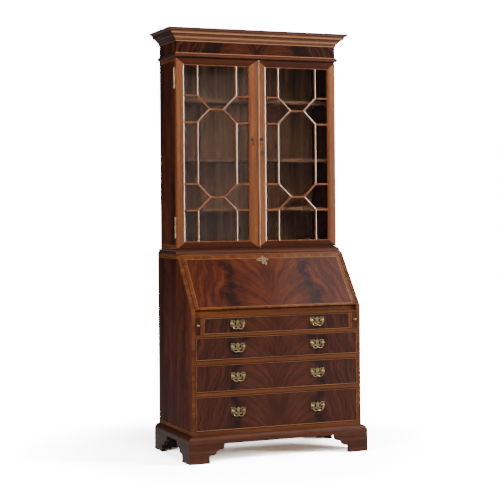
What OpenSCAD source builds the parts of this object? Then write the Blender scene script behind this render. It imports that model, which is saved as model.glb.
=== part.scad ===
// Secretary desk: slant-front desk with a glazed bookcase above it.
// Millimetres. The front faces -Y, the floor is Z = 0, and the origin is the middle of the base.

/* [Desk case] */
// Width over the desk's sides
case_w = 960; // [940:1:980]
// Depth of the desk's sides
case_d = 528; // [520:1:536]
// Thickness of the desk's sides
side_t = 21.5; // [20:0.5:22]
// Height of the desk top above the floor
desk_h = 1061; // [1055:1:1067]
// Height at which the slope starts
slope_z = 779; // [777:0.5:781]
// Depth that the slope covers
slope_run = 218.6; // [210:0.2:226]
// Thickness of the fall front
fall_t = 18; // [16:0.5:18]

/* [Base] */
// Height of the bracket feet
foot_h = 97; // [90:1:100]
// How far the base moulding stands out from the case
base_out = 26; // [24:1:28]
// Thickness of the foot brackets
bracket_t = 21; // [18:1:23]

/* [Long drawers] */
// Height of each drawer front, lowest first
drawer_h = [174.3, 137.4, 114.9, 83]; // [70:0.1:180]
// Space between each drawer front and the one below it
blade_h = [0, 24.2, 25.9, 18.2]; // [0:0.1:30]
// Top of the bottom rail
rail_top = 161.5; // [158:0.5:164]
// How far a long drawer pulls out
drawer_pull = 380; // [300:5:400]

/* [Lopers] */
// Width of each loper
loper_w = 24.6; // [20:0.2:25]
// Length of each loper
loper_l = 400; // [350:5:450]

/* [Bookcase] */
// Width over the bookcase's sides
book_w = 925; // [915:1:935]
// Depth from the door faces to the back
book_d = 277; // [270:1:284]
// Thickness of the bookcase's boards
board_t = 20; // [18:0.5:21]
// Total height
total_h = 2254; // [2244:1:2264]
// Thickness of a door
door_t = 27; // [25:0.5:28]
// Width of a door's outer stile
stile_w = 44.5; // [40:0.5:50]
// Width of a door's rails
door_rail_w = 36; // [32:1:42]
// Width of a glazing bar
bar_w = 10; // [8:0.5:12]
// Middle heights of the three shelves
shelf_z = [1297.7, 1563.6, 1879.6]; // [1250:0.1:1950]

/* [Handles] */
// Distance of a long drawer's handles from the middle
handle_x = 225.6; // [215:0.1:235]
// Radius of the curve of a bail
bail_r = 28; // [26:0.5:30]
// Radius of a bail's rod
bail_rod = 2.2; // [2:0.1:2.5]

/* [Hidden] */
$fn = 32;

// Shared gaps and board sizes
gap = 0.5;             // running clearance between a moving piece and the case
glue = 0.05;           // glue line between boards that are joined
panel_t = 12;          // back panels
thin_t = 8;            // gallery boards
back_y = book_d;       // rear plane of the whole piece
desk_front = book_d - case_d;
inner_x = case_w / 2 - side_t;
inner_back = back_y - panel_t;
book_x = book_w / 2;
book_inner = book_x - board_t;

// The slope and the fall that closes it
slope_a = atan2(desk_h - slope_z, slope_run);
lid_foot = 5;                                       // how far up the slope the fall starts, in height
pivot_z = slope_z + lid_foot - fall_t * cos(slope_a);
pivot_y = desk_front + lid_foot / tan(slope_a) + fall_t * sin(slope_a);
lid_top_z = desk_h - 9;                             // height of the fall's upper outer edge
lid_l = (lid_top_z - slope_z - lid_foot) / sin(slope_a);
lid_x = inner_x - 1;
deck_z = pivot_z;                                   // writing surface
deck_under = pivot_z - fall_t - gap;
fall_hinges = [-320, 0, 320];

// Long drawers: bottoms and tops of the fronts, lowest first
front_x = inner_x - 1;
top_front_x = 414.5;
drawer_low = [for (i = 0, z = rail_top + gap; i < 4;
                   i = i + 1, z = z + drawer_h[i - 1] + (i < 4 ? blade_h[i] : 0)) z];
function drawer_half(i) = i == 3 ? top_front_x : front_x;
front_t = 20;          // drawer front
bead_out = 3;          // cock bead stands out from the front
bead_w = 3.5;
front_y = desk_front + 1;
box_back_y = inner_back - 20;
box_t = 10;

// Handles
post_x = bail_r + 6.2;
bail_y = front_y - 9;
pin_r = 1.5;
fit = 0.05;            // radial clearance of a pin in its hole

// Lopers
partition_x = top_front_x + 1;
partition_t = 17;
loper_x = inner_x - 0.7 - loper_w / 2;
loper_low = drawer_low[3];
loper_h = deck_under - gap - loper_low;

// Bookcase heights
base_rail_top = desk_h + 30;
door_low = base_rail_top + 1;
door_high = total_h - 156;
door_h = door_high - door_low;
frieze_low = door_high + 1.5;
cornice_low = total_h - 68;
knuckle_r = 4;
hinge_pin_r = 1.6;
hinge_x = book_x + 2.5;
hinge_y = door_t + gap;
hinge_l = 110;
hinge_low = [1146, 1938];
meet_x = 0.75;         // half the gap between the doors
pane_in = 50;          // inner edge of the glass opening
pane_out = book_x - stile_w;
glass_y = 14;
rebate = 7;

module block(lo, hi) { translate(lo) cube(hi - lo); }

module both_sides() {
  children();
  mirror([1, 0, 0]) children();
}

function arc(cx, cy, r, from, to, n = 8) =
  [for (i = [0:n]) [cx + r * cos(from + (to - from) * i / n), cy + r * sin(from + (to - from) * i / n)]];

// A profile drawn as [stand-out, height], run round the front and both sides with mitred corners
module mitred_run(half_w, face_y, end_y, reach, low, high) {
  length = 2 * (half_w + reach);
  depth = end_y - face_y + reach;
  intersection() {
    translate([-length / 2, face_y, 0]) mirror([0, 1, 0]) rotate([90, 0, 90])
      linear_extrude(length) children();
    translate([0, 0, low]) linear_extrude(high - low)
      polygon([[-half_w + glue, face_y], [half_w - glue, face_y],
               [half_w + reach - glue, face_y - reach], [-half_w - reach + glue, face_y - reach]]);
  }
  both_sides() intersection() {
    translate([half_w, end_y, 0]) rotate([90, 0, 0]) linear_extrude(depth) children();
    translate([0, 0, low]) linear_extrude(high - low)
      polygon([[half_w, face_y + glue], [half_w + reach, face_y - reach + glue],
               [half_w + reach, end_y], [half_w, end_y]]);
  }
}

// ---- desk case ----

module lower_side() {
  translate([inner_x, 0, 0]) rotate([90, 0, 90]) linear_extrude(side_t)
    polygon([[back_y, foot_h], [desk_front, foot_h], [desk_front, slope_z],
             [desk_front + slope_run - 10 / tan(slope_a), desk_h - 10], [back_y, desk_h - 10]]);
}
module lower_side_left() { color("#4a1d10") mirror([1, 0, 0]) lower_side(); }
module lower_side_right() { color("#4a1d10") lower_side(); }

module lower_back_panel() {
  color("#6b4a30") block([-inner_x + glue, inner_back, foot_h], [inner_x - glue, back_y, desk_h - 20.5]);
}

// The bottom board and the dust panels above each blade
module dust_boards() {
  color("#7d5a3c") {
    block([-inner_x + glue, desk_front + 22, foot_h], [inner_x - glue, inner_back - glue, foot_h + 18]);
    for (i = [1:3])
      block([-inner_x + 42, desk_front + 62, drawer_low[i] - blade_h[i] / 2 - 3],
            [inner_x - 42, inner_back - 5, drawer_low[i] - blade_h[i] / 2 + 3]);
  }
}

module drawer_blades() {
  color("#8a4a22") {
    block([-inner_x + glue, desk_front, foot_h], [inner_x - glue, desk_front + 21.9, rail_top]);
    for (i = [1:3])
      block([-inner_x + glue, desk_front, drawer_low[i] - blade_h[i] + gap],
            [inner_x - glue, desk_front + 61, drawer_low[i] - gap]);
    block([-partition_x - partition_t, desk_front, drawer_low[3] + drawer_h[3] + gap],
          [partition_x + partition_t, desk_front + 61, deck_under - glue]);
  }
}

// Side runners, and the upright partitions that part the top drawer from the lopers
module drawer_runners() {
  color("#9a744c") both_sides() {
    block([inner_x - 40, desk_front + 22, foot_h + 18.1], [inner_x - glue, box_back_y + 10, rail_top]);
    for (i = [1:3])
      block([inner_x - 40, desk_front + 61.1, drawer_low[i] - blade_h[i] + gap],
            [inner_x - glue, box_back_y + 10, drawer_low[i] - gap]);
    block([partition_x, desk_front, drawer_low[3] - gap + glue],
          [partition_x + partition_t, box_back_y + 10, drawer_low[3] + drawer_h[3] + gap - glue]);
  }
}

module writing_deck() {
  color("#6a2c14") difference() {
    block([-inner_x + glue, pivot_y + 0.3, deck_under], [inner_x - glue, inner_back - glue, deck_z]);
    for (x = fall_hinges) {
      translate([x - 26, pivot_y, pivot_z]) rotate([0, 90, 0]) cylinder(h = 52, r = 2.9);
      block([x - 25.2, pivot_y, pivot_z - 1.6], [x + 25.2, pivot_y + 19, pivot_z + 1]);
    }
  }
}

// Lapped over the sides; its front edge follows the slope, then turns in beside the fall
module desk_top_board() {
  front = desk_front + slope_run;
  lid_y = front - (desk_h - lid_top_z - 0.8) / tan(slope_a);
  lap_y = front - 10 / tan(slope_a);
  under = desk_h - 20.5;
  color("#5a2412") rotate([90, 0, 90]) {
    translate([0, 0, -inner_x + glue]) linear_extrude(2 * (inner_x - glue))
      polygon([[front, desk_h], [lid_y, lid_top_z + 0.8],
               [lid_y + (lid_top_z + 0.8 - under) * tan(slope_a), under],
               [inner_back, under], [inner_back, desk_h - 10 + glue], [back_y, desk_h - 10 + glue],
               [back_y, desk_h]]);
    for (x = [-case_w / 2, inner_x - glue])
      translate([0, 0, x]) linear_extrude(side_t + glue)
        polygon([[front, desk_h], [lap_y, desk_h - 10 + glue], [back_y, desk_h - 10 + glue],
                 [back_y, desk_h]]);
  }
}

// Flat fascia under a quarter round
module base_profile() {
  polygon(concat([[0, foot_h], [base_out, foot_h]],
                 arc(-2.5, foot_h + 16, base_out + 2.5, 0, 84, 8), [[0, foot_h + 44.5]]));
}
module base_moulding() {
  color("#5a2a16")
    mitred_run(case_w / 2 + glue, desk_front - glue, back_y, base_out, foot_h - 1, foot_h + 50)
    base_profile();
}

// Outline of a bracket: a straight block, then an ogee that steps up to the case
module bracket_outline(extra = 0) {
  top = foot_h - glue;
  polygon(concat([[0, 0], [112 + extra, 0], [112 + extra, 39], [134 + extra, 41]],
                 arc(134 + extra, 57, 16, -80, -8, 5),
                 [[155 + extra, 59]], arc(155 + extra, 75, 12, -80, -40, 3),
                 [[172 + extra, 67], [184 + extra, 69]], arc(178 + extra, 82, 14, -40, 20, 4),
                 [[196 + extra, top], [0, top]]));
}
// Keeps the part of a bracket that lies inside the plan outline
module plan(points) {
  intersection() {
    children();
    linear_extrude(foot_h) polygon(points);
  }
}
// Front and side brackets that meet in a mitre, with a glue block behind the corner
module front_foot() {
  cx = case_w / 2 + base_out;
  cy = desk_front - base_out;
  t = bracket_t;
  plan([[cx - glue, cy], [cx - 230, cy], [cx - 230, cy + t], [cx - t - glue, cy + t]])
    translate([cx, cy + t, 0]) rotate([90, 0, 0]) mirror([1, 0, 0]) linear_extrude(t) bracket_outline();
  plan([[cx, cy + glue], [cx, cy + 230], [cx - t, cy + 230], [cx - t, cy + t + glue]])
    translate([cx - t, cy, 0]) rotate([90, 0, 90]) linear_extrude(t) bracket_outline();
  block([cx - t - 50, cy + t + glue, 3], [cx - t - glue, cy + t + 50, foot_h - glue]);
}
// A side bracket and a plain board across the back
module back_foot() {
  cx = case_w / 2 + base_out;
  t = bracket_t;
  translate([cx - t, back_y, 0]) mirror([0, 1, 0]) rotate([90, 0, 90]) linear_extrude(t) bracket_outline(6);
  block([cx - t - 110, back_y - t, 0], [cx - t - glue, back_y, foot_h - glue]);
  block([cx - t - 50, back_y - t - 50, 3], [cx - t - glue, back_y - t - glue, foot_h - glue]);
}
module front_feet() { color("#4e2212") both_sides() front_foot(); }
module back_feet() { color("#4e2212") both_sides() back_foot(); }

// A cove that grows out to the desk top
module waist_profile() {
  top = desk_h + 25;
  polygon(concat([[0, desk_h + glue], [17, desk_h + glue], [17, desk_h + 4]],
                 arc(24, desk_h + 15, 12, 215, 140, 6), [[6, desk_h + 23], [2, top], [0, top]]));
}
module waist_moulding() {
  color("#5a2a16") mitred_run(book_x + glue, 0, back_y, 17, desk_h - 1, desk_h + 30) waist_profile();
}

// Pigeonholes above, room for two small drawers and an open slot below
gallery_x = inner_x - gap;
gallery_front = 18;
gallery_back = inner_back - 2;
shelf_low = deck_z + 72;
gallery_top = desk_h - 22;
bay = (2 * gallery_x - thin_t) / 6;
module gallery_case() {
  color("#8a4a22") {
    block([-gallery_x, gallery_front, deck_z + glue], [gallery_x, gallery_back, deck_z + thin_t]);
    block([-gallery_x, gallery_front, shelf_low], [gallery_x, gallery_back, shelf_low + thin_t]);
    block([-gallery_x, gallery_front, gallery_top - thin_t], [gallery_x, gallery_back, gallery_top]);
    for (i = [0, 2, 4, 6]) {
      x = -gallery_x + i * bay;
      block([x, gallery_front, deck_z + thin_t + glue], [x + thin_t, gallery_back, shelf_low - glue]);
    }
    for (i = [0:6]) {
      x = -gallery_x + i * bay;
      block([x, gallery_front, shelf_low + thin_t + glue],
            [x + thin_t, gallery_back, gallery_top - thin_t - glue]);
    }
  }
}

// ---- bookcase ----

// Side board with mortises for the hinges
module upper_side() {
  difference() {
    block([book_inner, door_t + 1, desk_h + glue], [book_x, back_y, cornice_low + 4]);
    for (z = hinge_low) {
      translate([hinge_x, hinge_y, z - 0.3]) cylinder(h = hinge_l + 0.6, r = knuckle_r + 0.4);
      block([book_x - 17.2, door_t, z - 0.3], [book_x + 1, door_t + 2.7, z + hinge_l + 0.3]);
    }
  }
}
module upper_side_left() { color("#4a1d10") mirror([1, 0, 0]) upper_side(); }
module upper_side_right() { color("#4a1d10") upper_side(); }

module upper_back_panel() {
  color("#6a3a20")
    block([-book_inner + glue, inner_back, desk_h + glue], [book_inner - glue, back_y, cornice_low - 14]);
}

// Base rail across the front, bottom board, ceiling over the doors, and the top board
module upper_boards() {
  color("#5a2412") {
    block([-book_x, glue, desk_h + glue], [book_x, door_t + 0.9, base_rail_top]);
    block([-book_inner + glue, door_t + 1, base_rail_top - 16],
          [book_inner - glue, inner_back - glue, base_rail_top]);
    block([-book_inner + glue, door_t + 1.05, frieze_low],
          [book_inner - glue, inner_back - glue, frieze_low + 16]);
    block([-book_inner + glue, door_t + 1.05, cornice_low - 13.9],
          [book_inner - glue, back_y, cornice_low + 4]);
  }
}

shelf_front = 52;
module bookcase_shelves() {
  color("#7a3c1c") for (z = shelf_z)
    block([-book_inner + gap, shelf_front, z - 9], [book_inner - gap, inner_back - 1, z + 9]);
}
// Two pegs under each end of each shelf
module shelf_pegs() {
  both_sides() for (z = shelf_z, y = [shelf_front + 25, inner_back - 30])
    translate([book_inner - 9, y, z - 9 - 2.6]) rotate([0, 90, 0]) cylinder(h = 8.9, r = 2.5);
}

module frieze_board() {
  color("#5c2311") block([-book_x, 0, frieze_low], [book_x, door_t + 0.9, cornice_low + 4]);
}
bead_low = total_h - 151;
module frieze_bead() {
  color("#6e3018") mitred_run(book_x + glue, -glue, back_y, 12, bead_low - 1, bead_low + 30)
    polygon(concat([[0, bead_low]], arc(0, bead_low + 10, 11, -66, 66, 8), [[0, bead_low + 24]]));
}

// Fillet, small ovolo, cove, corona with a flat face, ogee and top fillet
module cornice_profile() {
  z = cornice_low;
  polygon(concat(
    [[0, z + 3], [5.5, z + 7], [6.2, z + 14]],
    arc(6.5, z + 21, 6.5, -80, -12, 4),
    arc(29, z + 19, 12.5, 172, 100, 6),
    [[27, z + 35], [37.5, z + 37], [39, z + 40], [41, z + 52]],
    arc(42, z + 64, 11.5, -88, -24, 6),
    [[55, z + 61], [57.5, z + 62], [57.5, total_h], [0, total_h]]));
}
module cornice() {
  color("#6e3018") mitred_run(book_x + glue, -glue, back_y, 57.5, cornice_low, total_h) cornice_profile();
}

// ---- hinges ----

// Five knuckles from the start of the axis; which = 0 for the fixed leaf's three, 1 for the moving two
module knuckles(length, r, pin, which) {
  step = length / 5;
  for (i = [which:2:4])
    translate([0, 0, i * step + 0.15]) difference() {
      cylinder(h = step - 0.3, r = r);
      translate([0, 0, -1]) cylinder(h = step + 2, r = pin + fit);
    }
}
// Fixed leaves and pins of the four door hinges and of the three fall hinges, and the shelf pegs
module case_brass() {
  step = hinge_l / 5;
  color("#b8975a") {
    shelf_pegs();
    both_sides() for (z = hinge_low) {
      difference() {
        union() {
          block([book_x - 17, door_t + 1.1, z], [book_x - 2.6, door_t + 2.6, z + hinge_l]);
          for (i = [0:2:4])
            block([book_x - 3, door_t + 1.1, z + i * step + 0.15],
                  [book_x + 2.5, door_t + 2.6, z + (i + 1) * step - 0.15]);
          translate([hinge_x, hinge_y, z]) knuckles(hinge_l, knuckle_r, hinge_pin_r, 0);
        }
        translate([hinge_x, hinge_y, z - 1]) cylinder(h = hinge_l + 2, r = hinge_pin_r + fit);
      }
      translate([hinge_x, hinge_y, z - 1]) cylinder(h = hinge_l + 2, r = hinge_pin_r);
    }
    for (x = fall_hinges) {
      difference() {
        union() {
          block([x - 25, pivot_y + 3.2, pivot_z - 1.5], [x + 25, pivot_y + 18.8, pivot_z - 0.1]);
          for (i = [0:2:4])
            block([x - 24.85 + 10 * i, pivot_y, pivot_z - 1.5],
                  [x - 15.15 + 10 * i, pivot_y + 3.3, pivot_z - 0.1]);
          translate([x - 25, pivot_y, pivot_z]) rotate([0, 90, 0]) knuckles(50, 2.5, 1, 0);
        }
        translate([x - 26, pivot_y, pivot_z]) rotate([0, 90, 0]) cylinder(h = 52, r = 1 + fit);
      }
      translate([x - 25, pivot_y, pivot_z]) rotate([0, 90, 0]) cylinder(h = 50, r = 1);
    }
  }
}
// The leaf on a door, with its two knuckles
module door_leaf(z) {
  step = hinge_l / 5;
  difference() {
    union() {
      block([book_x - 17, door_t - 1.6, z], [book_x - 2.6, door_t - 0.1, z + hinge_l]);
      for (i = [1, 3])
        block([book_x - 3, door_t - 1.6, z + i * step + 0.15],
              [book_x + 2.5, door_t - 0.1, z + (i + 1) * step - 0.15]);
      translate([hinge_x, hinge_y, z]) knuckles(hinge_l, knuckle_r, hinge_pin_r, 1);
    }
    translate([hinge_x, hinge_y, z - 1]) cylinder(h = hinge_l + 2, r = hinge_pin_r + fit);
  }
}

// ---- doors, drawn for the right side ----

// Plan outline of a stile: rebated behind for the glass
module stile_plan(from, to, rebate_side) {
  polygon(rebate_side > 0
    ? [[from, 0], [to, 0], [to, glass_y], [to - rebate, glass_y], [to - rebate, door_t], [from, door_t]]
    : [[from, 0], [to, 0], [to, door_t], [from + rebate, door_t],
       [from + rebate, glass_y], [from, glass_y]]);
}
module door_frame(has_lock) {
  rail_low = door_low + door_rail_w;
  rail_high = door_high - door_rail_w;
  difference() {
    translate([0, 0, door_low]) linear_extrude(door_h) stile_plan(meet_x, pane_in, 1);
    if (has_lock) {
      block([20, 8, key_z - 14], [42, 18, key_z + 14]);
      translate([key_x, 10, key_z]) rotate([90, 0, 0]) cylinder(h = 12, r = 2.8);
    }
  }
  difference() {
    translate([0, 0, door_low]) linear_extrude(door_h) stile_plan(pane_out, book_x, -1);
    for (z = hinge_low) {
      translate([hinge_x, hinge_y, z - 0.3]) cylinder(h = hinge_l + 0.6, r = knuckle_r + 0.4);
      block([book_x - 17.2, door_t - 1.7, z - 0.3], [book_x + 1, door_t + 1, z + hinge_l + 0.3]);
    }
  }
  for (z = [door_low, rail_high]) {
    inner = z == door_low ? [z, rail_low - rebate] : [z + rebate, door_high];
    block([pane_in + glue, 0, z], [pane_out - glue, glass_y, z + door_rail_w]);
    block([pane_in - rebate + glue, glass_y, inner[0]], [pane_out + rebate - glue, door_t, inner[1]]);
  }
}
module door_pane() {
  low = door_low + door_rail_w - rebate;
  high = door_high - door_rail_w + rebate;
  block([pane_in - rebate + 0.5, glass_y + 0.1, low + 0.5],
        [pane_out + rebate - 0.5, glass_y + 3, high - 0.5]);
}

// Lattice of glazing bars, in front of the glass
bar_x = [122.5, 344];               // upright bars
bar_point = [195.1, 274.1];         // tips of the cranked bars
bar_z = [1291.4, 1432, 1759, 1901.4];
tip_z = [1361.7, 1830.2];
bar_y = 3;
// One bar of the lattice's outline, from point to point
module straight_bar(from, to) {
  run = to - from;
  translate(from) rotate(atan2(run[1], run[0])) translate([0, -bar_w / 2]) square([norm(run), bar_w]);
}
module door_bars() {
  low = door_low + door_rail_w + glue;
  high = door_high - door_rail_w - glue;
  translate([0, glass_y - glue, 0]) rotate([90, 0, 0]) linear_extrude(glass_y - glue - bar_y) union() {
    for (side = [0, 1]) {
      x = bar_x[side];
      edge = side == 0 ? pane_in + glue : pane_out - glue;
      for (run = [[low, bar_z[0]], [bar_z[1], bar_z[2]], [bar_z[3], high]])
        straight_bar([x, run[0]], [x, run[1]]);
      for (z = bar_z) straight_bar([min(x, edge), z], [max(x, edge), z]);
      for (i = [0:3]) straight_bar([x, bar_z[i]], [bar_point[side], tip_z[floor(i / 2)]]);
      for (z = bar_z) translate([x, z]) circle(r = bar_w / 2 + 0.4);
      for (z = tip_z) translate([bar_point[side], z]) circle(r = bar_w / 2 + 0.4);
    }
    for (z = tip_z) straight_bar([bar_point[0], z], [bar_point[1], z]);
  }
}

// Rosette with a short post that carries the drop pull
knob_z = 1675;
key_z = 1600;
knob_left = -33;
knob_right = 24;
key_x = 27;
drop_y = -13;
module rosette(x) {
  translate([x, 0, knob_z]) rotate([90, 0, 0]) {
    cylinder(h = 2.5, r = 11.5);
    cylinder(h = 4.5, r = 8);
    cylinder(h = 9, r = 4);
  }
  difference() {
    block([x - 5.5, drop_y - 3, knob_z - 3], [x + 5.5, -8.5, knob_z + 3]);
    block([x - 2.5, drop_y - 4, knob_z - 4], [x + 2.5, drop_y + 3.4, knob_z + 4]);
    translate([x - 6, drop_y, knob_z]) rotate([0, 90, 0]) cylinder(h = 12, r = 1.2 + fit);
  }
}
module drop_pull(x) {
  translate([x - 5.4, drop_y, knob_z]) rotate([0, 90, 0]) cylinder(h = 10.8, r = 1.2);
  translate([x - 2, drop_y, knob_z]) rotate([0, 90, 0]) cylinder(h = 4, r = 2.6);
  translate([x, drop_y, knob_z - 26]) cylinder(h = 25, r = 1.6);
  translate([x, drop_y, knob_z - 28]) sphere(r = 5);
}

module door_left_frame() { color("#7a3a1c") mirror([1, 0, 0]) door_frame(false); }
module door_right_frame() { color("#7a3a1c") door_frame(true); }
module door_left_bars() { color("#9a5a34") mirror([1, 0, 0]) door_bars(); }
module door_right_bars() { color("#9a5a34") door_bars(); }
module door_left_glass() { color("#8a9094", 0.4) mirror([1, 0, 0]) door_pane(); }
module door_right_glass() { color("#8a9094", 0.4) door_pane(); }
module door_left_fittings() {
  color("#a98a50") {
    mirror([1, 0, 0]) for (z = hinge_low) door_leaf(z);
    rosette(knob_left);
  }
}
// The right door also has the lock and its keyhole plate
module door_right_fittings() {
  color("#a98a50") {
    for (z = hinge_low) door_leaf(z);
    rosette(knob_right);
    difference() {
      translate([key_x, 0, key_z]) rotate([90, 0, 0]) cylinder(h = 2, r = 9);
      translate([key_x, 1, key_z]) rotate([90, 0, 0]) cylinder(h = 4, r = 2.8);
    }
    difference() {
      block([20.1, 8.1, key_z - 13], [41.9, 17.9, key_z + 13]);
      translate([key_x, 20, key_z]) rotate([90, 0, 0]) cylinder(h = 14, r = 2.8);
    }
  }
}
module door_left_drop_pull() { color("#8c6f3c") drop_pull(knob_left); }
module door_right_drop_pull() { color("#8c6f3c") drop_pull(knob_right); }
// Half-round strip that covers the gap between the doors
module meeting_bead() {
  color("#b07a4a") translate([6, -glue, door_low]) intersection() {
    cylinder(h = door_h, r = 5.2);
    block([-6, -6, 0], [6, 0, door_h]);
  }
}
module door_key() {
  color("#b8975a") translate([key_x, 0, key_z]) {
    translate([0, 14, 0]) rotate([90, 0, 0]) cylinder(h = 28, r = 1.6);
    translate([0, -13.5, 0]) rotate([90, 0, 0]) cylinder(h = 2.2, r = 7);
  }
}

// ---- fall front ----

// Local axes of the closed fall: Y up the slope, Z out of its face, origin on the hinge line
module on_fall() {
  translate([0, pivot_y, pivot_z]) rotate([slope_a, 0, 0]) children();
}
lock_w = 80;
keyhole_down = 34;
module fall_board() {
  color("#5c2311") on_fall() difference() {
    block([-lid_x, 0.1, 0], [lid_x, lid_l, fall_t]);
    for (x = fall_hinges) {
      translate([x - 26, 0, 0]) rotate([0, 90, 0]) cylinder(h = 52, r = 2.9);
      block([x - 25.2, 0, -1], [x + 25.2, 19, 1.6]);
    }
    block([-lock_w / 2, lid_l - 40, -1], [lock_w / 2, lid_l + 1, 9]);
  }
}
module fall_fittings() {
  color("#b8975a") on_fall() {
    for (x = fall_hinges) difference() {
      union() {
        block([x - 25, 3.2, 0.1], [x + 25, 18.8, 1.5]);
        for (i = [1, 3])
          block([x - 24.85 + 10 * i, 0, 0.1], [x - 15.15 + 10 * i, 3.3, 1.5]);
        translate([x - 25, 0, 0]) rotate([0, 90, 0]) knuckles(50, 2.5, 1, 1);
      }
      translate([x - 26, 0, 0]) rotate([0, 90, 0]) cylinder(h = 52, r = 1 + fit);
    }
    block([-lock_w / 2 + 0.1, lid_l - 39.9, 0], [lock_w / 2 - 0.1, lid_l, 8.9]);
    difference() {
      translate([0, lid_l - keyhole_down, fall_t + glue]) union() {
        block([-39, -9, 0], [29, 9, 1.5]);
        block([-14, -35, 0], [10, 26, 1.5]);
        translate([-22, 2, 0]) cylinder(h = 1.5, r = 15);
        translate([13, -2, 0]) cylinder(h = 1.5, r = 14);
      }
      translate([0, lid_l - keyhole_down, fall_t - 1]) cylinder(h = 4, r = 3);
    }
  }
}

// ---- long drawers, 1 at the top ----

function row(n) = 4 - n;
function drawer_mid(n) = drawer_low[row(n)] + drawer_h[row(n)] / 2;
function handle_z(n) = drawer_mid(n) + (n == 1 ? 8.4 : n == 2 ? 6.9 : n == 3 ? 8.2 : 7.8);

// Front board with a proud cock bead round its edge
module drawer_front(n) {
  half = drawer_half(row(n));
  low = drawer_low[row(n)];
  high = low + drawer_h[row(n)];
  color("#5a2212") {
    block([-half, front_y, low], [half, front_y + front_t, high]);
    for (z = [low, high - bead_w]) block([-half, front_y - bead_out, z], [half, front_y, z + bead_w]);
    for (x = [-half, half - bead_w])
      block([x, front_y - bead_out, low], [x + bead_w, front_y, high]);
  }
}
module drawer_box(n) {
  half = drawer_half(row(n)) - 1;
  low = drawer_low[row(n)];
  high = low + drawer_h[row(n)] - 6;
  y0 = front_y + front_t + glue;
  color("#b08a5c") {
    both_sides() block([half - box_t, y0, low], [half, box_back_y, high]);
    block([-half + box_t + glue, box_back_y - box_t, low + 12], [half - box_t - glue, box_back_y, high]);
    block([-half + box_t + glue, y0, low + 4], [half - box_t - glue, box_back_y - glue, low + 11]);
  }
}

// Pierced back plate, two posts and their nuts
module handle_plate() {
  difference() {
    rotate([90, 0, 0]) linear_extrude(1.6) union() {
      square([70, 22], center = true);
      for (x = [-29, 29], z = [-10, 7]) translate([x, z]) circle(11);
      translate([0, 3]) circle(15);
      translate([0, -12]) circle(12);
    }
    for (x = [-18, 18]) translate([x, 1, 2]) rotate([90, 0, 0]) cylinder(h = 4, r = 5.5);
  }
  for (x = [-post_x, post_x]) {
    difference() {
      translate([x, -1.6, 0]) rotate([90, 0, 0]) cylinder(h = 11.5, r = 3.6);
      translate([x - 5, bail_y - front_y, 0]) rotate([0, 90, 0]) cylinder(h = 10, r = pin_r + fit);
    }
  }
}
module drawer_plates(n) {
  color("#b8975a") both_sides() translate([handle_x, front_y - glue, handle_z(n)]) handle_plate();
}
// Half ring with a pin at each end
module bail(n, side) {
  color("#c2a262") translate([side * handle_x, bail_y, handle_z(n)]) {
    rotate([90, 0, 0]) rotate([0, 0, 180])
      rotate_extrude(angle = 180) translate([bail_r, 0]) circle(bail_rod);
    for (x = [-1, 1]) {
      translate([x > 0 ? bail_r - 1 : -bail_r - 7, 0, 0]) rotate([0, 90, 0]) cylinder(h = 8, r = pin_r);
      translate([x * bail_r, 0, 0]) sphere(r = bail_rod);
    }
  }
}

module drawer_1_front() { drawer_front(1); }
module drawer_1_box() { drawer_box(1); }
module drawer_1_plates() { drawer_plates(1); }
module bail_1_left() { bail(1, -1); }
module bail_1_right() { bail(1, 1); }
module drawer_2_front() { drawer_front(2); }
module drawer_2_box() { drawer_box(2); }
module drawer_2_plates() { drawer_plates(2); }
module bail_2_left() { bail(2, -1); }
module bail_2_right() { bail(2, 1); }
module drawer_3_front() { drawer_front(3); }
module drawer_3_box() { drawer_box(3); }
module drawer_3_plates() { drawer_plates(3); }
module bail_3_left() { bail(3, -1); }
module bail_3_right() { bail(3, 1); }
module drawer_4_front() { drawer_front(4); }
module drawer_4_box() { drawer_box(4); }
module drawer_4_plates() { drawer_plates(4); }
module bail_4_left() { bail(4, -1); }
module bail_4_right() { bail(4, 1); }

// ---- lopers and small drawers ----

module loper() {
  block([loper_x - loper_w / 2, desk_front + 1, loper_low],
        [loper_x + loper_w / 2, desk_front + loper_l, loper_low + loper_h]);
  translate([loper_x, desk_front + 1, loper_low + 47]) rotate([90, 0, 0]) cylinder(h = 9, r = 2.5);
  translate([loper_x, desk_front - 11, loper_low + 47]) sphere(r = 6);
}
module loper_left() { color("#3a170c") mirror([1, 0, 0]) loper(); }
module loper_right() { color("#3a170c") loper(); }

// Front, two sides, back and bottom, with a small knob
small_half = bay - thin_t / 2 - gap;
module small_drawer() {
  low = deck_z + thin_t + gap;
  high = shelf_low - gap;
  x = gallery_x - thin_t - gap - small_half;
  y = gallery_front + 1;
  end = gallery_back - 30;
  block([x - small_half, y, low], [x + small_half, y + 12, high]);
  for (s = [-1, 1])
    block([x + s * (small_half - 3.5) - 3, y + 12.05, low], [x + s * (small_half - 3.5) + 3, end, high - 4]);
  block([x - small_half + 6.55, end - 6, low + 5.05], [x + small_half - 6.55, end, high - 4]);
  block([x - small_half + 6.55, y + 12.05, low], [x + small_half - 6.55, end, low + 5]);
  translate([x, y, (low + high) / 2]) rotate([90, 0, 0]) cylinder(h = 7, r = 2.5);
  translate([x, y - 9, (low + high) / 2]) sphere(r = 5.5);
}
module small_drawer_left() { color("#8a4a22") mirror([1, 0, 0]) small_drawer(); }
module small_drawer_right() { color("#8a4a22") small_drawer(); }

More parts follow.
